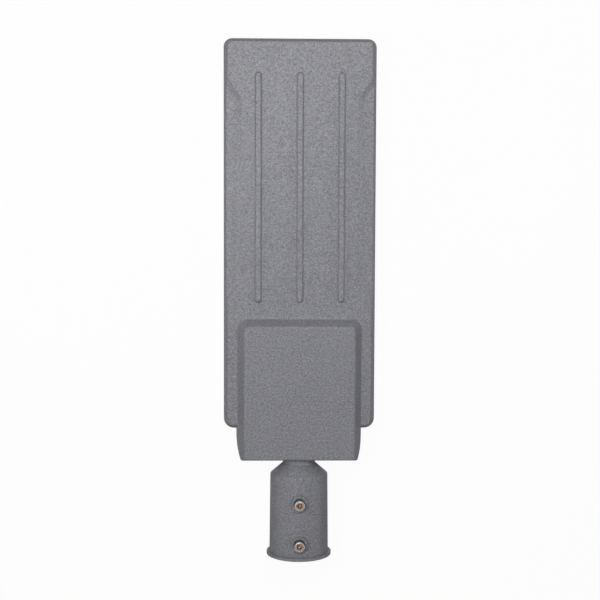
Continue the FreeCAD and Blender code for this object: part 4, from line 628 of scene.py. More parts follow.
def panel_shell(panel):
    """Panel as a grid over its plan, carried on by rings over the wall and skirt to a flat base."""
    inset, clear_of_wall, base_inset = 7.0, 99.0, 3.0
    rows, across, near_centre, far_centre = panel_lines(panel, inset)
    count_rows, count_columns = across.shape
    along = np.broadcast_to(rows[:, None], across.shape)
    height = panel_height(panel, across, along, clear_of_wall)
    top = np.stack([across, along, height], axis=-1).reshape(-1, 3)
    number = np.arange(count_rows * count_columns).reshape(count_rows, count_columns)
    loop = np.concatenate([number[0], number[1:, -1], number[-1, -2::-1], number[-2:0:-1, 0]])
    rim = top[loop]
    # outward normals: straight sides, arcs about the corner centres, straight ends
    centre_along = np.clip(rim[:, 1], near_centre, far_centre)
    arc = np.where(rim[:, 1] < near_centre, panel.near_corner - inset, panel.far_corner - inset)
    half = panel.half_width - inset
    centre_across = np.clip(rim[:, 0], -(half - arc), half - arc)
    straight = centre_along == rim[:, 1]
    normal = np.stack([np.where(straight, np.sign(rim[:, 0]), rim[:, 0] - centre_across),
                       np.where(straight, 0.0, rim[:, 1] - centre_along)], axis=1)
    normal /= np.linalg.norm(normal, axis=1, keepdims=True)
    rings = []
    for inward in (6.6, 6.2, 5.8, 5.4, 5.0, 4.6, 4.2, 3.8, 3.4, 3.0, 2.6, 2.2, 1.7, 1.0, 0.0):
        plan = rim[:, :2] + normal * (inset - inward)
        rings.append(at_height(plan, panel_height(panel, plan[:, 0], plan[:, 1], inward)))
    base = panel.top - panel.depth
    for turn in np.linspace(0, math.pi / 2, 5):
        inward = panel.skirt_round * (1 - math.cos(turn))
        rings.append(at_height(rim[:, :2] + normal * (inset - inward),
                               base + panel.skirt_round * (1 - math.sin(turn))))
    rings.append(at_height(rim[:, :2] + normal * (inset - base_inset), base))
    steps = len(loop)
    points = np.concatenate([top] + rings)
    ring_numbers = np.concatenate([loop[None], len(top) + np.arange(len(rings) * steps).reshape(-1, steps)])
    inner, outer = ring_numbers[:-1], ring_numbers[1:]
    sides = np.stack([inner, outer, np.roll(outer, -1, axis=1), np.roll(inner, -1, axis=1)], axis=-1)
    quads = np.concatenate([grid_faces(count_rows, count_columns), sides.reshape(-1, 4)])
    return outward(points, quads, [ring_numbers[-1][::-1]])


# Casting: driver box and its hollows


def stern_plan(box, half, inset, far, near, near_corner, far_corner, steps=6):
    """Plan of the box at one level: straight sides that draw in towards the end wall."""
    stern = near + box.stern
    corners = [(-(half - inset), near), (half - inset, near), (half, stern), (half, far), (-half, far),
               (-half, stern)]
    radii = [near_corner, near_corner, box.stern_round, far_corner, far_corner, box.stern_round]
    return rounded_outline(corners, radii, steps)


def box_level(box, panel, height, grow=0.0):
    """Plan of the box at a height, between those of rim, foot and top, moved out by grow."""
    knots = [box.rim, panel.top, box.top]
    half = np.interp(height, knots, [box.half_rim, box.half_foot, box.half_top]) + grow
    inset = np.interp(height, knots, [box.inset, box.inset, box.inset_top])
    far = np.interp(height, knots, [box.far_rim, box.far_foot, box.far_top]) + grow
    foot = box.start - box.end_lean
    near = np.interp(height, knots, [foot, foot, box.start]) - grow
    far_corner = np.interp(height, knots, [box.far_corner, box.far_corner_foot, box.far_corner_top])
    return stern_plan(box, half, inset, far, near, box.near_corner + grow, far_corner + grow)


def box_shell(box, panel):
    """Outer form of the box: loops up the leaning walls, a fillet at the foot, a rounded top edge.

    The fillet and the edge are quarter turns of a circle sheared along the wall's lean; the fillet
    fades out where the box stands free of the panel.
    """
    bevel, buried, sunk, fade = 0.5, 1.5, 0.02, (1, 6)

    def wall_loop(height, grow=0.0):
        return at_height(box_level(box, panel, height, grow), height)

    def foot_loop(height, spread):
        plan = box_level(box, panel, max(height, panel.top))
        wide = box_level(box, panel, max(height, panel.top), spread)
        hold = smooth_step(plan[:, 1], panel.start + fade[0], panel.start + fade[1])[:, None]
        return at_height(plan + (wide - plan) * hold, height)

    lowest = panel.top - buried
    loops = [wall_loop(box.rim, -bevel), wall_loop(box.rim + bevel), wall_loop(lowest - 1),
             foot_loop(lowest, box.foot_round)]
    loops += [foot_loop(panel.top + box.foot_round * (1 - math.sin(turn)) - sunk,
                        box.foot_round * (1 - math.cos(turn))) for turn in np.linspace(math.pi / 2, 0, 6)]
    loops += [wall_loop(box.top - box.edge_round * (1 - math.sin(turn)),
                        -box.edge_round * (1 - math.cos(turn))) for turn in np.linspace(0, math.pi / 2, 7)]
    return stack(loops)


def hollow_shells(box, panel):
    """Shells that hollow the casting from below: the compartment, and the lens bay with the pockets.

    The lens bay has a soft mouth and a recess for the board; a pocket runs beside the box.
    """
    recess_half, recess_margin, recess_corner, recess_top = 68, 12, 5, 3
    pocket_half, pocket_near, pocket_far, pocket_corner, pocket_depth = 79.5, 18, 6, 2.5, 12
    mouth, mouth_fold = 0.6, 0.18

    def room_plan(half, inset, far):
        near = box.start + box.end_wall
        return stern_plan(box, half, inset, far, near, box.inner_corner, box.inner_corner)

    lean = (box.half_foot - box.half_top) / (box.top - panel.top)
    far_lean = (box.far_foot - box.far_top) / (box.top - panel.top)
    rim_plan = room_plan(box.half_rim - box.land, box.inset, box.far_rim - box.land)
    foot_plan = room_plan(box.half_foot - box.wall, box.inset, box.far_foot - box.wall)
    top_plan = room_plan(box.half_top + box.roof * lean - box.wall, box.inset_top,
                         box.far_top + box.roof * far_lean - box.wall)
    compartment = stack([at_height(rim_plan, box.rim - 2), at_height(rim_plan, box.rim),
                         at_height(foot_plan, panel.top), at_height(top_plan, box.top - box.roof)])
    base = panel.top - panel.depth
    bay, start, end = panel.half_width - panel.bay_wall, panel.bay_start, panel.end - panel.bay_wall

    def bay_plan(grow):
        return block_plan(-bay - grow, bay + grow, start - grow, end + grow, panel.bay_corner + grow)

    board_plan = block_plan(-recess_half, recess_half, start + recess_margin, end - recess_margin,
                            recess_corner)
    lens_bay = stack([at_height(bay_plan(mouth), base - 1), at_height(bay_plan(mouth), base),
                      at_height(bay_plan(mouth_fold), base + mouth_fold),
                      at_height(bay_plan(0), base + mouth), at_height(bay_plan(0), 0),
                      at_height(board_plan, 0), at_height(board_plan, recess_top)])
    pockets = [prism(block_plan(left, right, panel.start + pocket_near, start - pocket_far, pocket_corner),
                     base - 1, base + pocket_depth)
               for left, right in ((pocket_half, bay), (-bay, -pocket_half))]
    return compartment, merged([lens_bay] + pockets)


def boss_shells(box, screw):
    """Bosses inside the compartment: six for the cover's screws, and seats under the roof.

    Four seats carry the driver, two the surge protector, one the earth lug, and a long one the
    terminal block.
    """
    column_radius, column_top = 5, 4
    seat_radius, seat_foot, seat_top = 4.5, 19, 25.5
    column = prism(circle_points(column_radius, 24), box.rim, column_top)
    columns = moved(column, places(screw.cover_across, 2, screw.cover_first, screw.cover_pitch, 3))
    seat = prism(circle_points(seat_radius, 24), seat_foot, seat_top)
    seats = moved(seat, [(-56.5, 223, 0), (56.5, 223, 0), (-56.5, 261, 0), (56.5, 261, 0),
                         (-42, 136, 0), (-42, 192, 0), (2, 186, 0)])
    terminal = prism(block_plan(24.5, 43.5, 159.5, 168.5, 2.25), seat_foot, seat_top)
    return merged([columns, seats, terminal])


# Pole socket


def socket_radius(socket, along):
    """Outer radius of the socket's long cone at a distance from the mouth."""
    start = socket.lip_length + socket.flare
    return np.interp(along, [start, socket.shoulder], [socket.mouth, socket.far])


def socket_shell(socket):
    """The turned body: lip, groove at its root, cone, shoulder, neck, funnel and bore."""
    flare = socket.lip_length + socket.flare
    root, groove, rise = socket.mouth - socket.quirk, 0.8, 0.25
    # (radius, along, rounding)
    corners = np.array([
        (socket.bore, 0, 0.8), (socket.lip, 0, 0.5), (socket.lip, socket.lip_length, 0.5),
        (root, flare - groove, 0.2), (root, flare, 0.2), (socket.mouth, flare + rise, 0.1),
        (socket.far, socket.shoulder, socket.shoulder_round), (socket.neck, socket.neck_start, 1.0),
        (socket.neck, socket.face, 0.4), (socket.passage, socket.face, 0.6),
        (socket.passage, socket.funnel, 2.0), (socket.bore - socket.ledge, socket.depth, 0.6),
        (socket.bore, socket.depth, 0.6)])
    return turned(rounded_outline(corners[:, :2], corners[:, 2], 5), 144)


def boss_shell(socket, along):
    """Boss on the socket's crest, as a polar grid: height over each point of its plan.

    The height is the larger of the socket's own surface, sqrt(R^2 - x^2), and the boss, whose
    flat top falls off steeply beyond its radius; both folds are soft. The last rings sink a little
    below the socket's surface, so that the two meet in a line.
    """
    steps, slope, ease, edge_round = 64, 9, 0.3, 0.7
    sink, sink_start, root_depth = 0.08, 0.8, 2
    beyond = [-4.0, -2.5, -1.4, -0.8, -0.5, -0.35, -0.2, -0.1, 0, 0.1, 0.2, 0.35, 0.6, 0.9, 1.2, 1.6]
    crest = socket.mouth + socket.boss_rise
    loops = []
    for past in beyond:
        plan = circle_points(socket.boss + past, steps) + (0, along)
        surface = np.sqrt(socket_radius(socket, plan[:, 1]) ** 2 - plan[:, 0] ** 2)
        flank = crest - np.maximum(0, past + ease) * slope
        boss = soft_min(np.full(steps, crest), flank + ease, edge_round)
        height = soft_max(surface, boss, socket.boss_round)
        loops.append(at_height(plan, height - sink * smooth_step(past, sink_start, beyond[-1])))
    outer = loops[-1] - (0, 0, root_depth)
    bottom = at_height(loops[0][:, :2], outer[:, 2].min())
    return stack(loops + [outer, bottom])


def screw_places(socket):
    """Distances of the two clamp screws from the mouth."""
    return socket.first_screw, socket.first_screw + socket.screw_pitch


def clamp_screw_shell(socket, along):
    """Hexagon socket set screw: loops up its thread, over the chamfer and down into the key.

    The thread's radius is R - depth * |saw|, saw being the distance from the helix in pitches, and
    the thread fades out towards both ends.
    """
    steps, ring_pitch = 48, socket.pitch / 7
    angles = np.linspace(0, 2 * math.pi, steps, endpoint=False)
    foot, top = socket.screw_foot, socket.screw_foot + socket.screw_length
    chamfered, hexagon = socket.screw - socket.chamfer, hexagon_radii(socket.key, steps)
    # (radius, height)
    knots = [(1.5, foot + 0.8), (2.6, foot), (socket.screw - 1.5, foot)]
    for height in np.arange(foot + socket.chamfer, top - socket.chamfer + 0.01, ring_pitch):
        turns = height / socket.pitch - angles / (2 * math.pi)
        saw = 2 * np.abs(turns - np.round(turns))
        fade = smooth_step(height, foot + 0.6, foot + 2.2) * (1 - smooth_step(height, top - 1.6, top - 0.9))
        knots.append((socket.screw - socket.thread * np.clip(1.25 * saw - 0.125, 0, 1) * fade, height))
    knots += [(socket.screw - 0.12, top - 0.62), (chamfered + 0.1, top - 0.08), (chamfered - 0.25, top),
              (hexagon + 0.28, top), (hexagon + 0.06, top - 0.22), (hexagon, top - 0.5),
              (hexagon, top - socket.key_depth), (hexagon - 1.2, top - socket.key_depth - 0.7)]
    shell = stack([at_height(circle_points(radius, steps), height) for radius, height in knots])
    return moved(shell, [(0, along, 0)])


def clamp_screw_slots(mesh, socket, along):
    """Material of each face by its centre: 1 inside the hexagon, which takes painted reflection and shade,
    2 on the thread, which takes painted shade, 0 elsewhere.
    """
    key_reach, key_low, key_high, thread_reach = 0.57 * socket.key, 11, 0.3, socket.screw - 0.7
    middles = np.empty(3 * len(mesh.polygons))
    mesh.polygons.foreach_get("center", middles)
    x, y, height = middles.reshape(-1, 3).T / MM
    away, drop = np.hypot(x, y - along), socket.screw_foot + socket.screw_length - height
    # faces inside the hexagon, which get the painted reflection and shade
    key = (away < key_reach) & (drop < key_low) & (drop > key_high)
    # faces on the thread, which get the painted shade
    thread = (away > thread_reach) & (drop > socket.chamfer)
    mesh.polygons.foreach_set("material_index", (key + 2 * thread).astype(np.int32))


# Lens plate, cover and fasteners


def plate_shell(plan_at, low, high, edge):
    """Plate between two levels: plan_at(inset) is its outline, and both edges are quarter turns.

    At a turn t of an edge the outline is inset by edge (1 - sin t), edge (1 - cos t) from the face.
    """
    turns = np.linspace(0, math.pi / 2, 4)
    plans = [plan_at(edge * (1 - math.sin(turn))) for turn in turns]
    drops = edge * (1 - np.cos(turns))
    return stack([at_height(plan, low + drop) for plan, drop in zip(plans, drops)]
                 + [at_height(plan, high - drop) for plan, drop in zip(plans[::-1], drops[::-1])])


def dome_shell(lens):
    """One dome below the origin: rings inset by w (1 - cos t) at a depth of h sin t, w half its width."""
    across, along = lens.dome_across / 2, lens.dome_along / 2

    def ring(turn, depth):
        inset = along * (1 - math.cos(turn))
        return at_height(block_plan(inset - across, across - inset, inset - along, along - inset,
                                    0.98 * (along - inset)), -depth)

    turns = np.radians([0, 10, 20, 30, 40, 50, 60, 69, 77, 84])
    return stack([ring(0, -0.8)] + [ring(turn, lens.dome_height * math.sin(turn)) for turn in turns])


def pan_screw_shell(head, height, shank, grip):
    """Pan-head screw whose head hangs below the origin, with a hexagon key.

    The loops run from the shank's tip over the head, an arc of radius a + (R - a) cos t at a depth
    of b + (h - b) sin t, and down into the key.
    """
    steps = 36

    def ring(radius, level):
        return at_height(circle_points(radius, steps), level)

    flat, rise = 0.62 * head, 0.3 * height
    loops = [ring(0.7 * shank, grip), ring(shank, grip - 0.5), ring(shank, 0), ring(0.92 * head, 0),
             ring(head, -0.1 * height)]
    loops += [ring(flat + (head - flat) * math.cos(turn), -rise - (height - rise) * math.sin(turn))
              for turn in np.linspace(0, math.pi / 2, 7)]
    key = hexagon_radii(0.92 * head, steps)
    loops += [ring(key + 0.12, -height), ring(key, 0.12 - height), ring(key, -0.45 * height),
              ring(0.2 * key, -0.3 * height)]
    return stack(loops)


def vent_plug_shell(cover):
    """Vent plug with its seat at the origin: thread above, and a head below with a scalloped side.

    The scallops take s (1 - cos 20 a) / 2 off the head's radius, s being their depth.
    """
    steps = 160
    wave = (1 - np.cos(20 * np.linspace(0, 2 * math.pi, steps, endpoint=False))) / 2
    thread, head, height = cover.vent_thread, cover.vent_radius, cover.vent_height
    # (radius, scallop, level)
    knots = [(thread - 0.8, 0, 10), (thread, 0, 9.2), (thread, 0, 0), (head - 0.3, 0, 0), (head, 0, -0.3),
             (head - 0.1, 0, -0.6), (head - 0.2, 0.45, -0.9), (head - 0.75, 0.45, 0.5 - height),
             (head - 0.95, 0.25, 0.15 - height), (head - 1.3, 0, -height), (head - 3.2, 0, -height),
             (head - 3.5, 0, 0.3 - height), (head - 3.7, 0, 0.9 - height), (1.6, 0, 0.9 - height),
             (1.3, 0, 0.5 - height), (0.3, 0, 0.4 - height)]
    return stack([at_height(circle_points(radius - scallop * wave, steps), level)
                  for radius, scallop, level in knots])


# Materials


def put(tree, kind, feeds=None, **settings):
    """New node with its settings, whose inputs are values or other nodes' outputs."""
    made = tree.nodes.new(kind)
    for name, choice in settings.items():
        setattr(made, name, choice)
    for name, feed in (feeds or {}).items():
        if isinstance(feed, bpy.types.NodeSocket):
            tree.links.new(feed, made.inputs[name])
        else:
            made.inputs[name].default_value = feed
    return made


def group_tree(name, inputs, outputs):
    """Empty shader group with float or colour sockets: (tree, inputs, outputs)."""
    tree = bpy.data.node_groups.new(name, "ShaderNodeTree")
    for label, kind, default in inputs:
        socket = tree.interface.new_socket(label, in_out="INPUT", socket_type=kind)
        socket.default_value = default
    for label, kind in outputs:
        tree.interface.new_socket(label, in_out="OUTPUT", socket_type=kind)
    return tree, tree.nodes.new("NodeGroupInput").outputs, tree.nodes.new("NodeGroupOutput").inputs


FLOAT, COLOUR = "NodeSocketFloat", "NodeSocketColor"


def math_node(tree, operation, first, second=0.5, third=0.0):
    """Output of a Math node."""
    return put(tree, "ShaderNodeMath", {0: first, 1: second, 2: third}, operation=operation).outputs[0]


def noise(tree, place, scale, detail=2.0, roughness=0.5):
    """Noise texture's value on object coordinates."""
    return put(tree, "ShaderNodeTexNoise", {"Vector": place, "Scale": scale, "Detail": detail,
                                            "Roughness": roughness}).outputs["Fac"]


def spread_out(tree, number, low, high, bottom, top):
    """Value mapped from one range to another, held at its ends."""
    return put(tree, "ShaderNodeMapRange", {"Value": number, "From Min": low, "From Max": high,
                                            "To Min": bottom, "To Max": top}).outputs["Result"]


def coat_group(name):
    """Sand-textured powder coat: speckled colour, roughness and relief at a grain scale."""
    tree, given, out = group_tree(name, [
        ("Color", COLOUR, (0.3, 0.3, 0.3, 1)), ("Grain", FLOAT, 800.0), ("Speckle", FLOAT, 0.3)],
        [("Color", COLOUR), ("Roughness", FLOAT), ("Height", FLOAT)])
    place = put(tree, "ShaderNodeTexCoord").outputs["Object"]
    coarse = noise(tree, place, given["Grain"], 1.0, 0.6)
    finer = noise(tree, place, math_node(tree, "MULTIPLY", given["Grain"], 2.3), 1.0, 0.5)
    broad = noise(tree, place, 38.0, 3.0, 0.55)
    cloud = noise(tree, place, 9.0, 2.0, 0.5)
    grains = math_node(tree, "MULTIPLY_ADD", finer, 0.5, math_node(tree, "MULTIPLY", coarse, 0.5))
    speckle = spread_out(tree, grains, 0.30, 0.70, -1.0, 1.0)
    lift = math_node(tree, "MULTIPLY_ADD", speckle, given["Speckle"], 1.0)
    blotch = math_node(tree, "MULTIPLY_ADD", math_node(tree, "SUBTRACT", broad, 0.5), 0.10, lift)
    drift = math_node(tree, "MULTIPLY_ADD", math_node(tree, "SUBTRACT", cloud, 0.5), 0.08, blotch)
    shade = put(tree, "ShaderNodeVectorMath", {0: given["Color"], "Scale": drift}, operation="SCALE")
    tree.links.new(shade.outputs["Vector"], out["Color"])
    tree.links.new(spread_out(tree, grains, 0.35, 0.65, 0.46, 0.33), out["Roughness"])
    tree.links.new(grains, out["Height"])
    return tree


def wear_group(name):
    """Fine scuffs: long thin streaks, broken by a broad noise, as a mask and a height."""
    tree, given, out = group_tree(name, [("Scale", FLOAT, 300.0), ("Amount", FLOAT, 0.5)],
                                  [("Mask", FLOAT), ("Height", FLOAT)])
    place = put(tree, "ShaderNodeTexCoord").outputs["Object"]
    stretched = put(tree, "ShaderNodeMapping", {"Vector": place, "Rotation": (0.3, 0.2, 0.9),
                                                "Scale": (1.0, 0.06, 1.0)}).outputs["Vector"]
    streaks = noise(tree, stretched, given["Scale"], 3.0, 0.6)
    patches = noise(tree, place, math_node(tree, "MULTIPLY", given["Scale"], 0.2), 2.0, 0.5)
    line = spread_out(tree, streaks, 0.52, 0.68, 0.0, 1.0)
    patch = spread_out(tree, patches, 0.40, 0.62, 0.0, 1.0)
    mask = math_node(tree, "MULTIPLY", math_node(tree, "MULTIPLY", line, patch), given["Amount"])
    tree.links.new(mask, out["Mask"])
    tree.links.new(math_node(tree, "SUBTRACT", 1.0, mask), out["Height"])
    return tree


def mottle_group(name):
    """Moulded or cut surface: slight change of colour and gloss, with a faint relief."""
    tree, given, out = group_tree(name, [
        ("Color", COLOUR, (0.5, 0.5, 0.5, 1)), ("Scale", FLOAT, 120.0), ("Change", FLOAT, 0.15),
        ("Gloss", FLOAT, 0.4)], [("Color", COLOUR), ("Roughness", FLOAT), ("Height", FLOAT)])
    place = put(tree, "ShaderNodeTexCoord").outputs["Object"]
    broad = noise(tree, place, given["Scale"], 4.0, 0.6)
    finer = noise(tree, place, math_node(tree, "MULTIPLY", given["Scale"], 9.0), 2.0, 0.5)
    both = math_node(tree, "MULTIPLY_ADD", finer, 0.4, math_node(tree, "MULTIPLY", broad, 0.6))
    lift = math_node(tree, "MULTIPLY_ADD", math_node(tree, "SUBTRACT", both, 0.5),
                     math_node(tree, "MULTIPLY", given["Change"], 2.0), 1.0)
    shade = put(tree, "ShaderNodeVectorMath", {0: given["Color"], "Scale": lift}, operation="SCALE")
    tree.links.new(shade.outputs["Vector"], out["Color"])
    tree.links.new(math_node(tree, "MULTIPLY_ADD", math_node(tree, "SUBTRACT", both, 0.5), 0.3,
                             given["Gloss"]), out["Roughness"])
    tree.links.new(both, out["Height"])
    return tree


def group_node(tree, name, feeds):
    """Outputs of one of the shader groups, which is made the first time that it is asked for."""
    group = bpy.data.node_groups.get(name) or SHADER_GROUPS[name](name)
    return put(tree, "ShaderNodeGroup", feeds, node_tree=group).outputs


SHADER_GROUPS = {"powder_grain": coat_group, "fine_scuffs": wear_group, "soft_mottle": mottle_group}


def kept(name, make, *details):
    """The named material, made the first time that it is asked for."""
    return bpy.data.materials.get(name) or make(name, *details)


def new_material(name):
    """Empty node material: (material, tree, principled shader)."""
    material = bpy.data.materials.new(name)
    material.use_nodes = True
    tree = material.node_tree
    return material, tree, tree.nodes["Principled BSDF"]


def relief(tree, shader, height, strength, distance):
    """Bump from a height into a shader's normal."""
    bump = put(tree, "ShaderNodeBump", {"Height": height, "Strength": strength, "Distance": distance})
    tree.links.new(bump.outputs["Normal"], shader.inputs["Normal"])


def coat_material(name, tint, speckle, grain, strength):
    """Powder-coated casting, with grains of a given scale."""
    material, tree, shader = new_material(name)
    grains = group_node(tree, "powder_grain", {"Color": (*tint, 1), "Grain": grain, "Speckle": speckle})
    tree.links.new(grains["Color"], shader.inputs["Base Color"])
    tree.links.new(grains["Roughness"], shader.inputs["Roughness"])
    relief(tree, shader, grains["Height"], strength, 0.0004)
    shader.inputs["Specular IOR Level"].default_value = 0.33
    return material


def mottled(tree, shader, tint, scale, change, gloss, strength=0.1, scuffs=0.0):
    """Soft mottle in a shader's roughness and normal, dulled by scuffs, and its colour to link on."""
    base = group_node(tree, "soft_mottle", {"Color": (*tint, 1), "Scale": scale, "Change": change,
                                            "Gloss": gloss})
    rough, height = base["Roughness"], base["Height"]
    if scuffs:
        worn = group_node(tree, "fine_scuffs", {"Scale": scale * 3, "Amount": scuffs})
        rough = math_node(tree, "MULTIPLY_ADD", worn["Mask"], 0.35, rough)
        height = math_node(tree, "ADD", height, worn["Height"])
    tree.links.new(rough, shader.inputs["Roughness"])
    relief(tree, shader, height, strength, 0.0002)
    return base["Color"]


# Plastics, rubbers and metals: (scale, change, gloss, relief, metallic, scuffs)
MOULDED = {
    "stainless_steel": (400.0, 0.35, 0.34, 0.30, 1.0, 0.6),
    # thread row: dark steel whose colour is painted shade on the clamp screws' thread
    "thread_painted_shade": (400.0, 0.35, 0.50, 0.30, 1.0, 0.5),
    "driver_case": (220.0, 0.12, 0.38, 0.20, 0.9, 0.5),
    "tinned_brass": (500.0, 0.15, 0.30, 0.20, 1.0, 0.4),
    "black_plastic": (420.0, 0.20, 0.50, 0.30, 0.0, 0.0),
    "pale_plastic": (180.0, 0.08, 0.42, 0.12, 0.0, 0.0),
    "gasket_rubber": (260.0, 0.25, 0.62, 0.25, 0.0, 0.0),
    "lead_sheath": (300.0, 0.20, 0.48, 0.15, 0.0, 0.0),
    "earth_sheath": (300.0, 0.20, 0.48, 0.15, 0.0, 0.0),
}


def moulded_material(name, tint):
    """Plastic, rubber or metal with a soft mottle, and scuffs where its row has them."""
    scale, change, gloss, strength, metallic, scuffs = MOULDED[name]
    material, tree, shader = new_material(name)
    tone = mottled(tree, shader, tint, scale, change, gloss, strength, scuffs)
    tree.links.new(tone, shader.inputs["Base Color"])
    shader.inputs["Metallic"].default_value = metallic
    return material


def lens_material(name, tint):
    """Clear moulded plastic."""
    material, tree, shader = new_material(name)
    base = group_node(tree, "soft_mottle", {"Color": (*tint, 1), "Scale": 60.0, "Change": 0.02,
                                            "Gloss": 0.04})
    tree.links.new(base["Color"], shader.inputs["Base Color"])
    rough = spread_out(tree, base["Roughness"], 0.0, 0.1, 0.02, 0.06)
    tree.links.new(rough, shader.inputs["Roughness"])
    relief(tree, shader, base["Height"], 0.04, 0.0002)
    shader.inputs["IOR"].default_value = 1.58
    shader.inputs["Transmission Weight"].default_value = 1.0
    return material


def key_reflection_shade_material(name, tint):
    """Steel with painted colour: brown that stands for copper-coloured reflections, and dark flecks that
    stand for shade in the hexagon.
    """
    material, tree, shader = new_material(name)
    tone = mottled(tree, shader, tint, 260.0, 0.5, 0.36, 0.25)
    place = put(tree, "ShaderNodeTexCoord").outputs["Object"]
    # dark flecks: painted shade in the hexagon
    mask = spread_out(tree, noise(tree, place, 330.0, 2.0, 0.6), 0.50, 0.62, 0.0, 1.0)
    tree.links.new(two_tone(tree, mask, tone, (0.03, 0.028, 0.027)), shader.inputs["Base Color"])
    shader.inputs["Metallic"].default_value = 1.0
    return material


def panel_coat(finish):
    """Powder coat of the housing and the cover."""
    return kept("panel_coat", coat_material, finish.coat, finish.coat_speckle, 520.0, finish.coat_relief)


def socket_coat(finish):
    """Powder coat of the pole socket, a little finer than the housing's."""
    return kept("socket_coat", coat_material, finish.coat, finish.coat_speckle, 560.0, finish.coat_relief)


def clear_lens(finish):
    """Clear plastic of the lens plate."""
    return kept("clear_lens", lens_material, finish.lens)


def steel(finish):
    """Stainless steel of the screws."""
    return kept("stainless_steel", moulded_material, finish.steel)


def thread_painted_shade(finish):
    """Dark colour on the clamp screws' thread: painted shade that stands in for the shade on the screws'
    sides.
    """
    return kept("thread_painted_shade", moulded_material, finish.thread)


def key_painted_reflection_shade(finish):
    """Painted reflection and shade inside the clamp screws' hexagon."""
    return kept("key_painted_reflection_shade", key_reflection_shade_material, finish.key)


def black_plastic(finish):
    """Moulded black plastic of the vent plug, the gland and the surge protector."""
    return kept("black_plastic", moulded_material, finish.plastic)


def cell_distance(tree, axis, pitch, offset):
    """Distance, in metres, of an object coordinate from the nearest of a row of lines."""
    turns = math_node(tree, "MULTIPLY_ADD", axis, 1 / (pitch * MM), 0.5 - offset / pitch)
    off_middle = math_node(tree, "ABSOLUTE", math_node(
        tree, "SUBTRACT", math_node(tree, "FRACT", turns), 0.5))
    return math_node(tree, "MULTIPLY", off_middle, pitch * MM)


def led_axes(tree, lens):
    """Distances, in metres, from the nearest LED, across and along the lamp."""
    place = put(tree, "ShaderNodeTexCoord").outputs["Object"]
    axes = put(tree, "ShaderNodeSeparateXYZ", {"Vector": place}).outputs
    across = cell_distance(tree, axes["X"], lens.pitch_across, lens.pitch_across * (lens.columns - 1) / 2)
    along = cell_distance(tree, axes["Y"], lens.pitch_along,
                          lens.middle - lens.pitch_along * (lens.rows - 1) / 2)
    return across, along


def led_field(tree, axes, half_across, half_along, fade=0.2):
    """Mask of a rectangle round each LED, from half sizes and a soft edge in millimetres."""
    sides = [spread_out(tree, axis, half * MM, (half + fade) * MM, 1.0, 0.0)
             for axis, half in zip(axes, (half_across, half_along))]
    return math_node(tree, "MULTIPLY", *sides)


def two_tone(tree, mask, first, second):
    """Colour that goes from one to another where the mask goes from 0 to 1."""
    mix = put(tree, "ShaderNodeMix", data_type="RGBA")
    for name, feed in (("Factor_Float", mask), ("A_Color", first), ("B_Color", second)):
        entry = next(entry for entry in mix.inputs if entry.identifier == name)
        if isinstance(feed, bpy.types.NodeSocket):
            tree.links.new(feed, entry)
        else:
            entry.default_value = (*feed, 1)
    return next(entry for entry in mix.outputs if entry.identifier == "Result_Color")


def led_material(lens, body, phosphor):
    """LED package: pale body with a round yellow light face in the middle of its plan."""
    material, tree, shader = new_material("led_package")
    across, along = led_axes(tree, lens)
    away = math_node(tree, "SQRT", math_node(tree, "MULTIPLY_ADD", across, across,
                                             math_node(tree, "MULTIPLY", along, along)))
    face = spread_out(tree, away, 1.30 * MM, 1.42 * MM, 1.0, 0.0)
    tone = mottled(tree, shader, body, 900.0, 0.03, 0.35)
    tree.links.new(two_tone(tree, face, tone, phosphor), shader.inputs["Base Color"])
    return material


def board_material(lens, tint, pads):
    """Solder mask over copper fields, one round each LED, that stand out a little."""
    material, tree, shader = new_material("solder_mask")
    axes = led_axes(tree, lens)
    tone = mottled(tree, shader, tint, 300.0, 0.05, 0.42)
    pale = two_tone(tree, led_field(tree, axes, 8.8, 10.8), tuple(0.86 * part for part in tint), tone)
    tree.links.new(two_tone(tree, led_field(tree, axes, 2.4, 3.0), pale, pads), shader.inputs["Base Color"])
    return material


def finishes(finish, lens):
    """Finish of every material slot of the record, for the pieces that come from the CAD model."""
    return {
        "casting": panel_coat(finish),
        "socket_casting": socket_coat(finish),
        "steel": steel(finish),
        "gasket_rubber": moulded_material("gasket_rubber", finish.rubber),
        "board": board_material(lens, finish.mask, finish.pads),
        "led": led_material(lens, finish.led, finish.phosphor),
        "white_plastic": moulded_material("pale_plastic", finish.pale_plastic),
        "lens": clear_lens(finish),
        "black_plastic": black_plastic(finish),
        "driver_case": moulded_material("driver_case", finish.driver),
        "tinned_brass": moulded_material("tinned_brass", finish.brass),
        "lead_sheath": moulded_material("lead_sheath", finish.sheath),
        "earth_sheath": moulded_material("earth_sheath", finish.earth),
    }


# Operators


class LAMP_OT_housing(bpy.types.Operator):
    """Builds the housing's casting: panel, driver box, hollows and inner bosses"""

    bl_idname = "lamp.housing"
    bl_label = "Housing"

    def execute(self, context):
        scene = context.scene
        panel, box, screw = sizes(scene.lamp_panel), sizes(scene.lamp_box), sizes(scene.lamp_screws)
        casting = mesh_object("housing_casting", panel_shell(panel))
        body = mesh_object("box_form", box_shell(box, panel))
        compartment, bays = hollow_shells(box, panel)
        passage = along_axis(box.passage, box.start - 2, box.start + 6)
        neck_seat = along_axis(box.neck_seat, box.start - 6, box.start, steps=72)
        lead_bore = along_axis(box.lead_bore, 278, 312, (0, 3), 24)
        cuts = {"room_form": compartment, "passage_form": passage, "seat_form": neck_seat,
                "lead_bore_form": lead_bore, "bay_form": bays}
        bosses = mesh_object("boss_form", boss_shells(box, screw))
        combined(casting, [body], "UNION")
        combined(casting, [mesh_object(name, shell) for name, shell in cuts.items()], "DIFFERENCE")
        combined(casting, [bosses], "UNION")
        finished(casting, [panel_coat(scene.lamp_finish)], ["housing"])
        return {"FINISHED"}


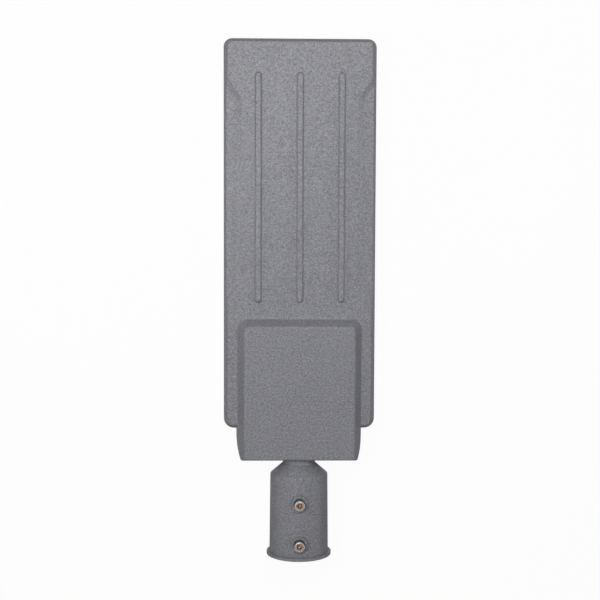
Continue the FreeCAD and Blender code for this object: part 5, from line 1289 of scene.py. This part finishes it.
class LAMP_OT_socket(bpy.types.Operator):
    """Builds the pole socket with its lip, bore, funnel and screw bosses"""

    bl_idname = "lamp.socket"
    bl_label = "Pole socket"

    def execute(self, context):
        socket = sizes(context.scene.lamp_socket)
        casting = mesh_object("socket_casting", socket_shell(socket))
        bosses = [mesh_object("screw_boss", boss_shell(socket, along)) for along in screw_places(socket)]
        crest, sink, free = socket.mouth + socket.boss_rise, socket.countersink, 0.05
        hole = stack([at_height(circle_points(socket.screw + grow, 48), height) for grow, height in
                      ((free, 20), (free, crest - sink), (sink, crest), (sink, crest + 4))])
        holes = mesh_object("screw_hole", moved(hole, [(0, along, 0) for along in screw_places(socket)]))
        reach = socket.bolt_circle / math.sqrt(2)
        bolt_holes = mesh_object("bolt_hole", merged([
            along_axis(socket.bolt_hole, socket.face - socket.bolt_depth, socket.face + 1,
                       (across * reach, up * reach), 20) for across in (-1, 1) for up in (-1, 1)]))
        combined(casting, bosses, "UNION")
        combined(casting, [holes, bolt_holes], "DIFFERENCE")
        finished(casting, [socket_coat(context.scene.lamp_finish)], ["pole_socket"])
        return {"FINISHED"}


class LAMP_OT_clamp_screws(bpy.types.Operator):
    """Builds the two clamp screws with their thread and hexagon key"""

    bl_idname = "lamp.clamp_screws"
    bl_label = "Clamp screws"

    def execute(self, context):
        socket, finish = sizes(context.scene.lamp_socket), context.scene.lamp_finish
        # slot 1 paints reflection and shade into the hexagon, slot 2 paints shade on the thread
        materials = [steel(finish), key_painted_reflection_shade(finish), thread_painted_shade(finish)]
        for node, along in zip(("clamp_screw_front", "clamp_screw_rear"), screw_places(socket)):
            screw = mesh_object(f"{node}_steel", clamp_screw_shell(socket, along))
            finished(screw, materials, [node], 28)
            clamp_screw_slots(screw.data, socket, along)
        return {"FINISHED"}


class LAMP_OT_lens_plate(bpy.types.Operator):
    """Builds the clear lens plate with a dome over each LED"""

    bl_idname = "lamp.lens_plate"
    bl_label = "Lens plate"

    def execute(self, context):
        lens, screw = sizes(context.scene.lamp_lens), sizes(context.scene.lamp_screws)
        face = lens.back - lens.thickness

        def plan_at(inset):
            return block_plan(inset - lens.half_width, lens.half_width - inset, lens.start + inset,
                              lens.end - inset, lens.corner - inset)

        plate = mesh_object("lens_plate_clear", plate_shell(plan_at, face, lens.back, lens.edge))
        first = lens.middle - lens.pitch_along * (lens.rows - 1) / 2
        across = lens.pitch_across * (lens.columns - 1)
        domes = mesh_object("dome_form", moved(dome_shell(lens), places(
            across, lens.columns, first, lens.pitch_along, lens.rows, face)))
        hole = prism(circle_points(screw.hole, 32), face - 1, lens.back + 1)
        holes = mesh_object("lens_hole", moved(hole, places(
            screw.lens_across, 2, screw.lens_first, screw.lens_pitch, 6)))
        combined(plate, [domes], "UNION")
        combined(plate, [holes], "DIFFERENCE")
        finished(plate, [clear_lens(context.scene.lamp_finish)], ["lens_plate"])
        return {"FINISHED"}


class LAMP_OT_cover(bpy.types.Operator):
    """Builds the driver compartment's cover with its raised field, and the vent plug"""

    bl_idname = "lamp.cover"
    bl_label = "Cover and vent plug"

    def execute(self, context):
        scene = context.scene
        cover, box, screw = sizes(scene.lamp_cover), sizes(scene.lamp_box), sizes(scene.lamp_screws)
        face = cover.back - cover.thickness

        def plan_at(inset):
            return stern_plan(box, cover.half_width - inset, box.inset, cover.end - inset,
                              cover.start + inset, box.near_corner, box.far_corner)

        def field_loop(inset, height):
            margin = cover.field_margin + inset
            return at_height(block_plan(margin - cover.half_width, cover.half_width - margin,
                                        cover.start + margin, cover.end - margin,
                                        cover.field_corner - min(inset, 2)), height)

        sheet = mesh_object("driver_cover_sheet", plate_shell(plan_at, face, cover.back, cover.edge))
        rise = cover.field_height
        field = mesh_object("field_form", stack([
            field_loop(-0.4, face + 0.5), field_loop(-0.4, face), field_loop(0.15, face - 0.12),
            field_loop(rise - 0.3, face - rise + 0.25), field_loop(rise - 0.05, face - rise + 0.06),
            field_loop(rise + 0.3, face - rise)]))
        hole = prism(circle_points(screw.hole, 32), face - 1, cover.back + 1)
        vent = prism(circle_points(cover.vent_thread + 0.05, 48), face - rise - 1, cover.back + 1)
        holes = mesh_object("cover_hole", merged([
            moved(hole, places(screw.cover_across, 2, screw.cover_first, screw.cover_pitch, 3)),
            moved(vent, [(cover.vent_across, cover.vent_along, 0)])]))
        combined(sheet, [field], "UNION")
        combined(sheet, [holes], "DIFFERENCE")
        finished(sheet, [panel_coat(scene.lamp_finish)], ["driver_cover"])
        plug = mesh_object("vent_plug_moulding", moved(vent_plug_shell(cover), [
            (cover.vent_across, cover.vent_along, face - rise - cover.vent_washer)]))
        finished(plug, [black_plastic(scene.lamp_finish)], ["vent_plug"])
        return {"FINISHED"}


class LAMP_OT_screws(bpy.types.Operator):
    """Builds the pan-head screws of the lens plate, the cover and the LED board"""

    bl_idname = "lamp.screws"
    bl_label = "Pan-head screws"

    def execute(self, context):
        scene = context.scene
        screw, lens, cover = sizes(scene.lamp_screws), sizes(scene.lamp_lens), sizes(scene.lamp_cover)
        large = (screw.head, screw.head_height, screw.shank)
        small = (screw.small_head, screw.small_height, screw.small_shank)
        board = corner_of("led_board", False, 2)
        # node: (head and shank, grip, across, first, pitch, rows, level)
        groups = {
            "lens_screws": (large, screw.lens_grip, screw.lens_across, screw.lens_first,
                            screw.lens_pitch, 6, lens.back - lens.thickness),
            "cover_screws": (large, screw.cover_grip, screw.cover_across, screw.cover_first,
                             screw.cover_pitch, 3, cover.back - cover.thickness),
            "board_screws": (small, screw.board_grip, screw.board_across, screw.board_first,
                             screw.board_pitch, 3, board),
        }
        for node, (form, grip, across, *along) in groups.items():
            shell = moved(pan_screw_shell(*form, grip), places(across, 2, *along))
            finished(mesh_object(f"{node}_steel", shell), [steel(scene.lamp_finish)], [node], 28)
        return {"FINISHED"}


class LAMP_OT_finishes(bpy.types.Operator):
    """Gives every piece that comes from the CAD model the finish of its material slot"""

    bl_idname = "lamp.finishes"
    bl_label = "Finishes of the inner pieces"

    def execute(self, context):
        made = finishes(context.scene.lamp_finish, sizes(context.scene.lamp_lens))
        for part in frame["record"]["subparts"]:
            node = frame["nodes"][part["node"]]
            if not node.material_slots:
                node.data.materials.append(None)
            for entry in node.material_slots:
                entry.material = made[part["material_slot"]]
        return {"FINISHED"}


class LAMP_OT_stage(bpy.types.Operator):
    """Sets up the camera, the lamps, the floor and the white surroundings"""

    bl_idname = "lamp.stage"
    bl_label = "Stage"

    def execute(self, context):
        stage = sizes(context.scene.lamp_stage)
        set_camera(context, stage)
        set_lamps(context, stage)
        set_floor(stage)
        set_world(context, stage)
        context.scene.view_settings.view_transform = "Standard"
        return {"FINISHED"}


def set_camera(context, stage):
    """Camera above the lamp, leaning towards its far end, with the far end up in the picture."""
    panel_top = context.scene.lamp_panel.top / MM
    aim = Vector((stage.aim_across, stage.aim_along, panel_top)) * MM
    back = Vector((-math.tan(stage.lean), math.tan(stage.tilt), 1)).normalized()
    data = bpy.data.cameras.new("camera")
    data.lens = stage.lens
    data.sensor_width = 36
    camera = bpy.data.objects.new("camera", data)
    right = Vector((0, 1, 0)).cross(back).normalized()
    up = back.cross(right)
    turn = Matrix((right, up, back)).transposed()
    camera.matrix_world = (Matrix.Translation(aim + back * stage.reach * MM)
                           @ turn.to_4x4() @ Matrix.Rotation(stage.roll, 4, "Z"))
    context.scene.collection.objects.link(camera)
    context.scene.camera = camera


def add_lamp(context, name, place, aim, size, power):
    """Area lamp at a place, turned towards an aim, both in metres."""
    data = bpy.data.lights.new(name, "AREA")
    data.shape = "RECTANGLE"
    data.size, data.size_y = size
    data.energy = power
    lamp = bpy.data.objects.new(name, data)
    lamp.location = place
    lamp.rotation_euler = (Vector(aim) - Vector(place)).to_track_quat("-Z", "Y").to_euler()
    context.scene.collection.objects.link(lamp)
    return lamp


def set_lamps(context, stage):
    """A wide lamp above the far end, two above the socket, a narrow low one at either side, one below.

    Places and sizes are in metres. The left near lamp is the stronger of the two.
    """
    uneven, low_spread = 0.15, math.radians(35)
    add_lamp(context, "far_lamp", (-0.2, 0.74, 1.5), (0, 0.45, 0), (1.4, 0.35), stage.far)
    for name, side in (("left", -1), ("right", 1)):
        add_lamp(context, f"near_{name}_lamp", (side * 0.55, 0.12, 1.3), (0, 0.3, 0), (0.4, 0.4),
                 stage.near * (1 - uneven * side))
        low = add_lamp(context, f"low_{name}_lamp", (side * 1.4, 0.5, 0.42), (side * 0.08, 0.47, 0.01),
                       (0.3, 0.2), stage.low)
        low.data.spread = low_spread
    add_lamp(context, "under_lamp", (0.2, 0.35, -1.3), (0, 0.35, 0), (1.0, 1.4), stage.under)


def white_rays(tree, rays, gloss):
    """1 for rays from the camera and through glass, a share for gloss, and 0 for other rays."""
    direct = math_node(tree, "MAXIMUM", rays["Is Camera Ray"], rays["Is Transmission Ray"])
    return math_node(tree, "MAXIMUM", direct, math_node(tree, "MULTIPLY", rays["Is Glossy Ray"], gloss))


def set_floor(stage):
    """Pale floor under the lamp, white to the camera, that keeps a soft shadow.

    The white is full from 1.8 m away. Seen from below the floor is clear, and it lets the under
    lamp's light through.
    """
    half, corner, clear_of_lamp = 4000, 500, 0.2
    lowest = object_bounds()[0][2] / MM
    points = at_height(block_plan(-half, half, -half, half, corner), lowest - clear_of_lamp)
    floor = mesh_object("floor", (points, np.empty((0, 4), int), [np.arange(len(points))]))
    material, tree, shader = new_material("pale_floor")
    place = put(tree, "ShaderNodeTexCoord").outputs["Object"]
    rays = put(tree, "ShaderNodeLightPath").outputs
    seen = white_rays(tree, rays, stage.floor_gloss)
    pale = spread_out(tree, noise(tree, place, 6.0, 4.0, 0.6), 0.3, 0.7, 0.92, 0.97)
    shade = spread_out(tree, seen, 0.0, 1.0, 0.2, pale)
    tone = put(tree, "ShaderNodeCombineColor", {"Red": shade, "Green": shade, "Blue": shade})
    tree.links.new(tone.outputs["Color"], shader.inputs["Base Color"])
    shader.inputs["Roughness"].default_value = 0.9
    glow = put(tree, "ShaderNodeEmission", {"Color": (1, 1, 1, 1), "Strength": 1.0})
    away = put(tree, "ShaderNodeVectorMath", {0: place}, operation="LENGTH").outputs["Value"]
    white = math_node(tree, "MULTIPLY", seen, spread_out(tree, away, 0.7, 1.8, stage.floor_white, 1.0))
    mix = put(tree, "ShaderNodeMixShader", {"Fac": white, 1: shader.outputs["BSDF"],
                                            2: glow.outputs["Emission"]})
    clear = put(tree, "ShaderNodeBsdfTransparent")
    turned_away = math_node(tree, "MAXIMUM", put(tree, "ShaderNodeNewGeometry").outputs["Backfacing"],
                            rays["Is Shadow Ray"])
    both = put(tree, "ShaderNodeMixShader", {"Fac": turned_away, 1: mix.outputs["Shader"],
                                             2: clear.outputs["BSDF"]})
    tree.links.new(both.outputs["Shader"], tree.nodes["Material Output"].inputs["Surface"])
    floor.data.materials.append(material)
    floor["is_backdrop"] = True


def set_world(context, stage):
    """World that is white where it is seen, with a dim ceiling for gloss, and an even light elsewhere."""
    world = bpy.data.worlds.new("surroundings")
    world.use_nodes = True
    tree = world.node_tree
    light = tree.nodes["Background"]
    light.inputs["Color"].default_value = (1, 1, 1, 1)
    rays = put(tree, "ShaderNodeLightPath").outputs
    way = put(tree, "ShaderNodeTexCoord").outputs["Generated"]
    upward = put(tree, "ShaderNodeSeparateXYZ", {"Vector": way}).outputs["Z"]
    seen = white_rays(tree, rays, spread_out(tree, upward, 0.30, 0.70, 1.0, stage.ceiling))
    strength = math_node(tree, "MAXIMUM", seen, stage.ambient)
    tree.links.new(strength, light.inputs["Strength"])
    context.scene.world = world


class LAMP_PT_sidebar(bpy.types.Panel):
    """Lists the lamp's pieces in the 3D view's sidebar"""

    bl_idname = "LAMP_PT_sidebar"
    bl_label = "Street light"
    bl_space_type = "VIEW_3D"
    bl_region_type = "UI"
    bl_category = "Street light"

    def draw(self, context):
        for operator in OPERATORS:
            self.layout.operator(operator.bl_idname)


GROUPS = {"lamp_panel": PanelSizes, "lamp_box": BoxSizes, "lamp_socket": SocketSizes,
          "lamp_lens": LensSizes, "lamp_cover": CoverSizes, "lamp_screws": ScrewSizes,
          "lamp_finish": FinishColours, "lamp_stage": StageSettings}
OPERATORS = [LAMP_OT_housing, LAMP_OT_socket, LAMP_OT_clamp_screws, LAMP_OT_lens_plate, LAMP_OT_cover,
             LAMP_OT_screws, LAMP_OT_finishes, LAMP_OT_stage]


def register():
    for group in GROUPS.values():
        bpy.utils.register_class(group)
    for name, group in GROUPS.items():
        setattr(bpy.types.Scene, name, PointerProperty(type=group))
    for made in [*OPERATORS, LAMP_PT_sidebar]:
        bpy.utils.register_class(made)


def unregister():
    for made in reversed([*OPERATORS, LAMP_PT_sidebar]):
        bpy.utils.unregister_class(made)
    for name in GROUPS:
        delattr(bpy.types.Scene, name)
    for group in reversed(GROUPS.values()):
        bpy.utils.unregister_class(group)


def main():
    """Makes every piece and the stage."""
    register()
    for operator in OPERATORS:
        family, name = operator.bl_idname.split(".")
        getattr(getattr(bpy.ops, family), name)()


if __name__ == "__main__":
    main()
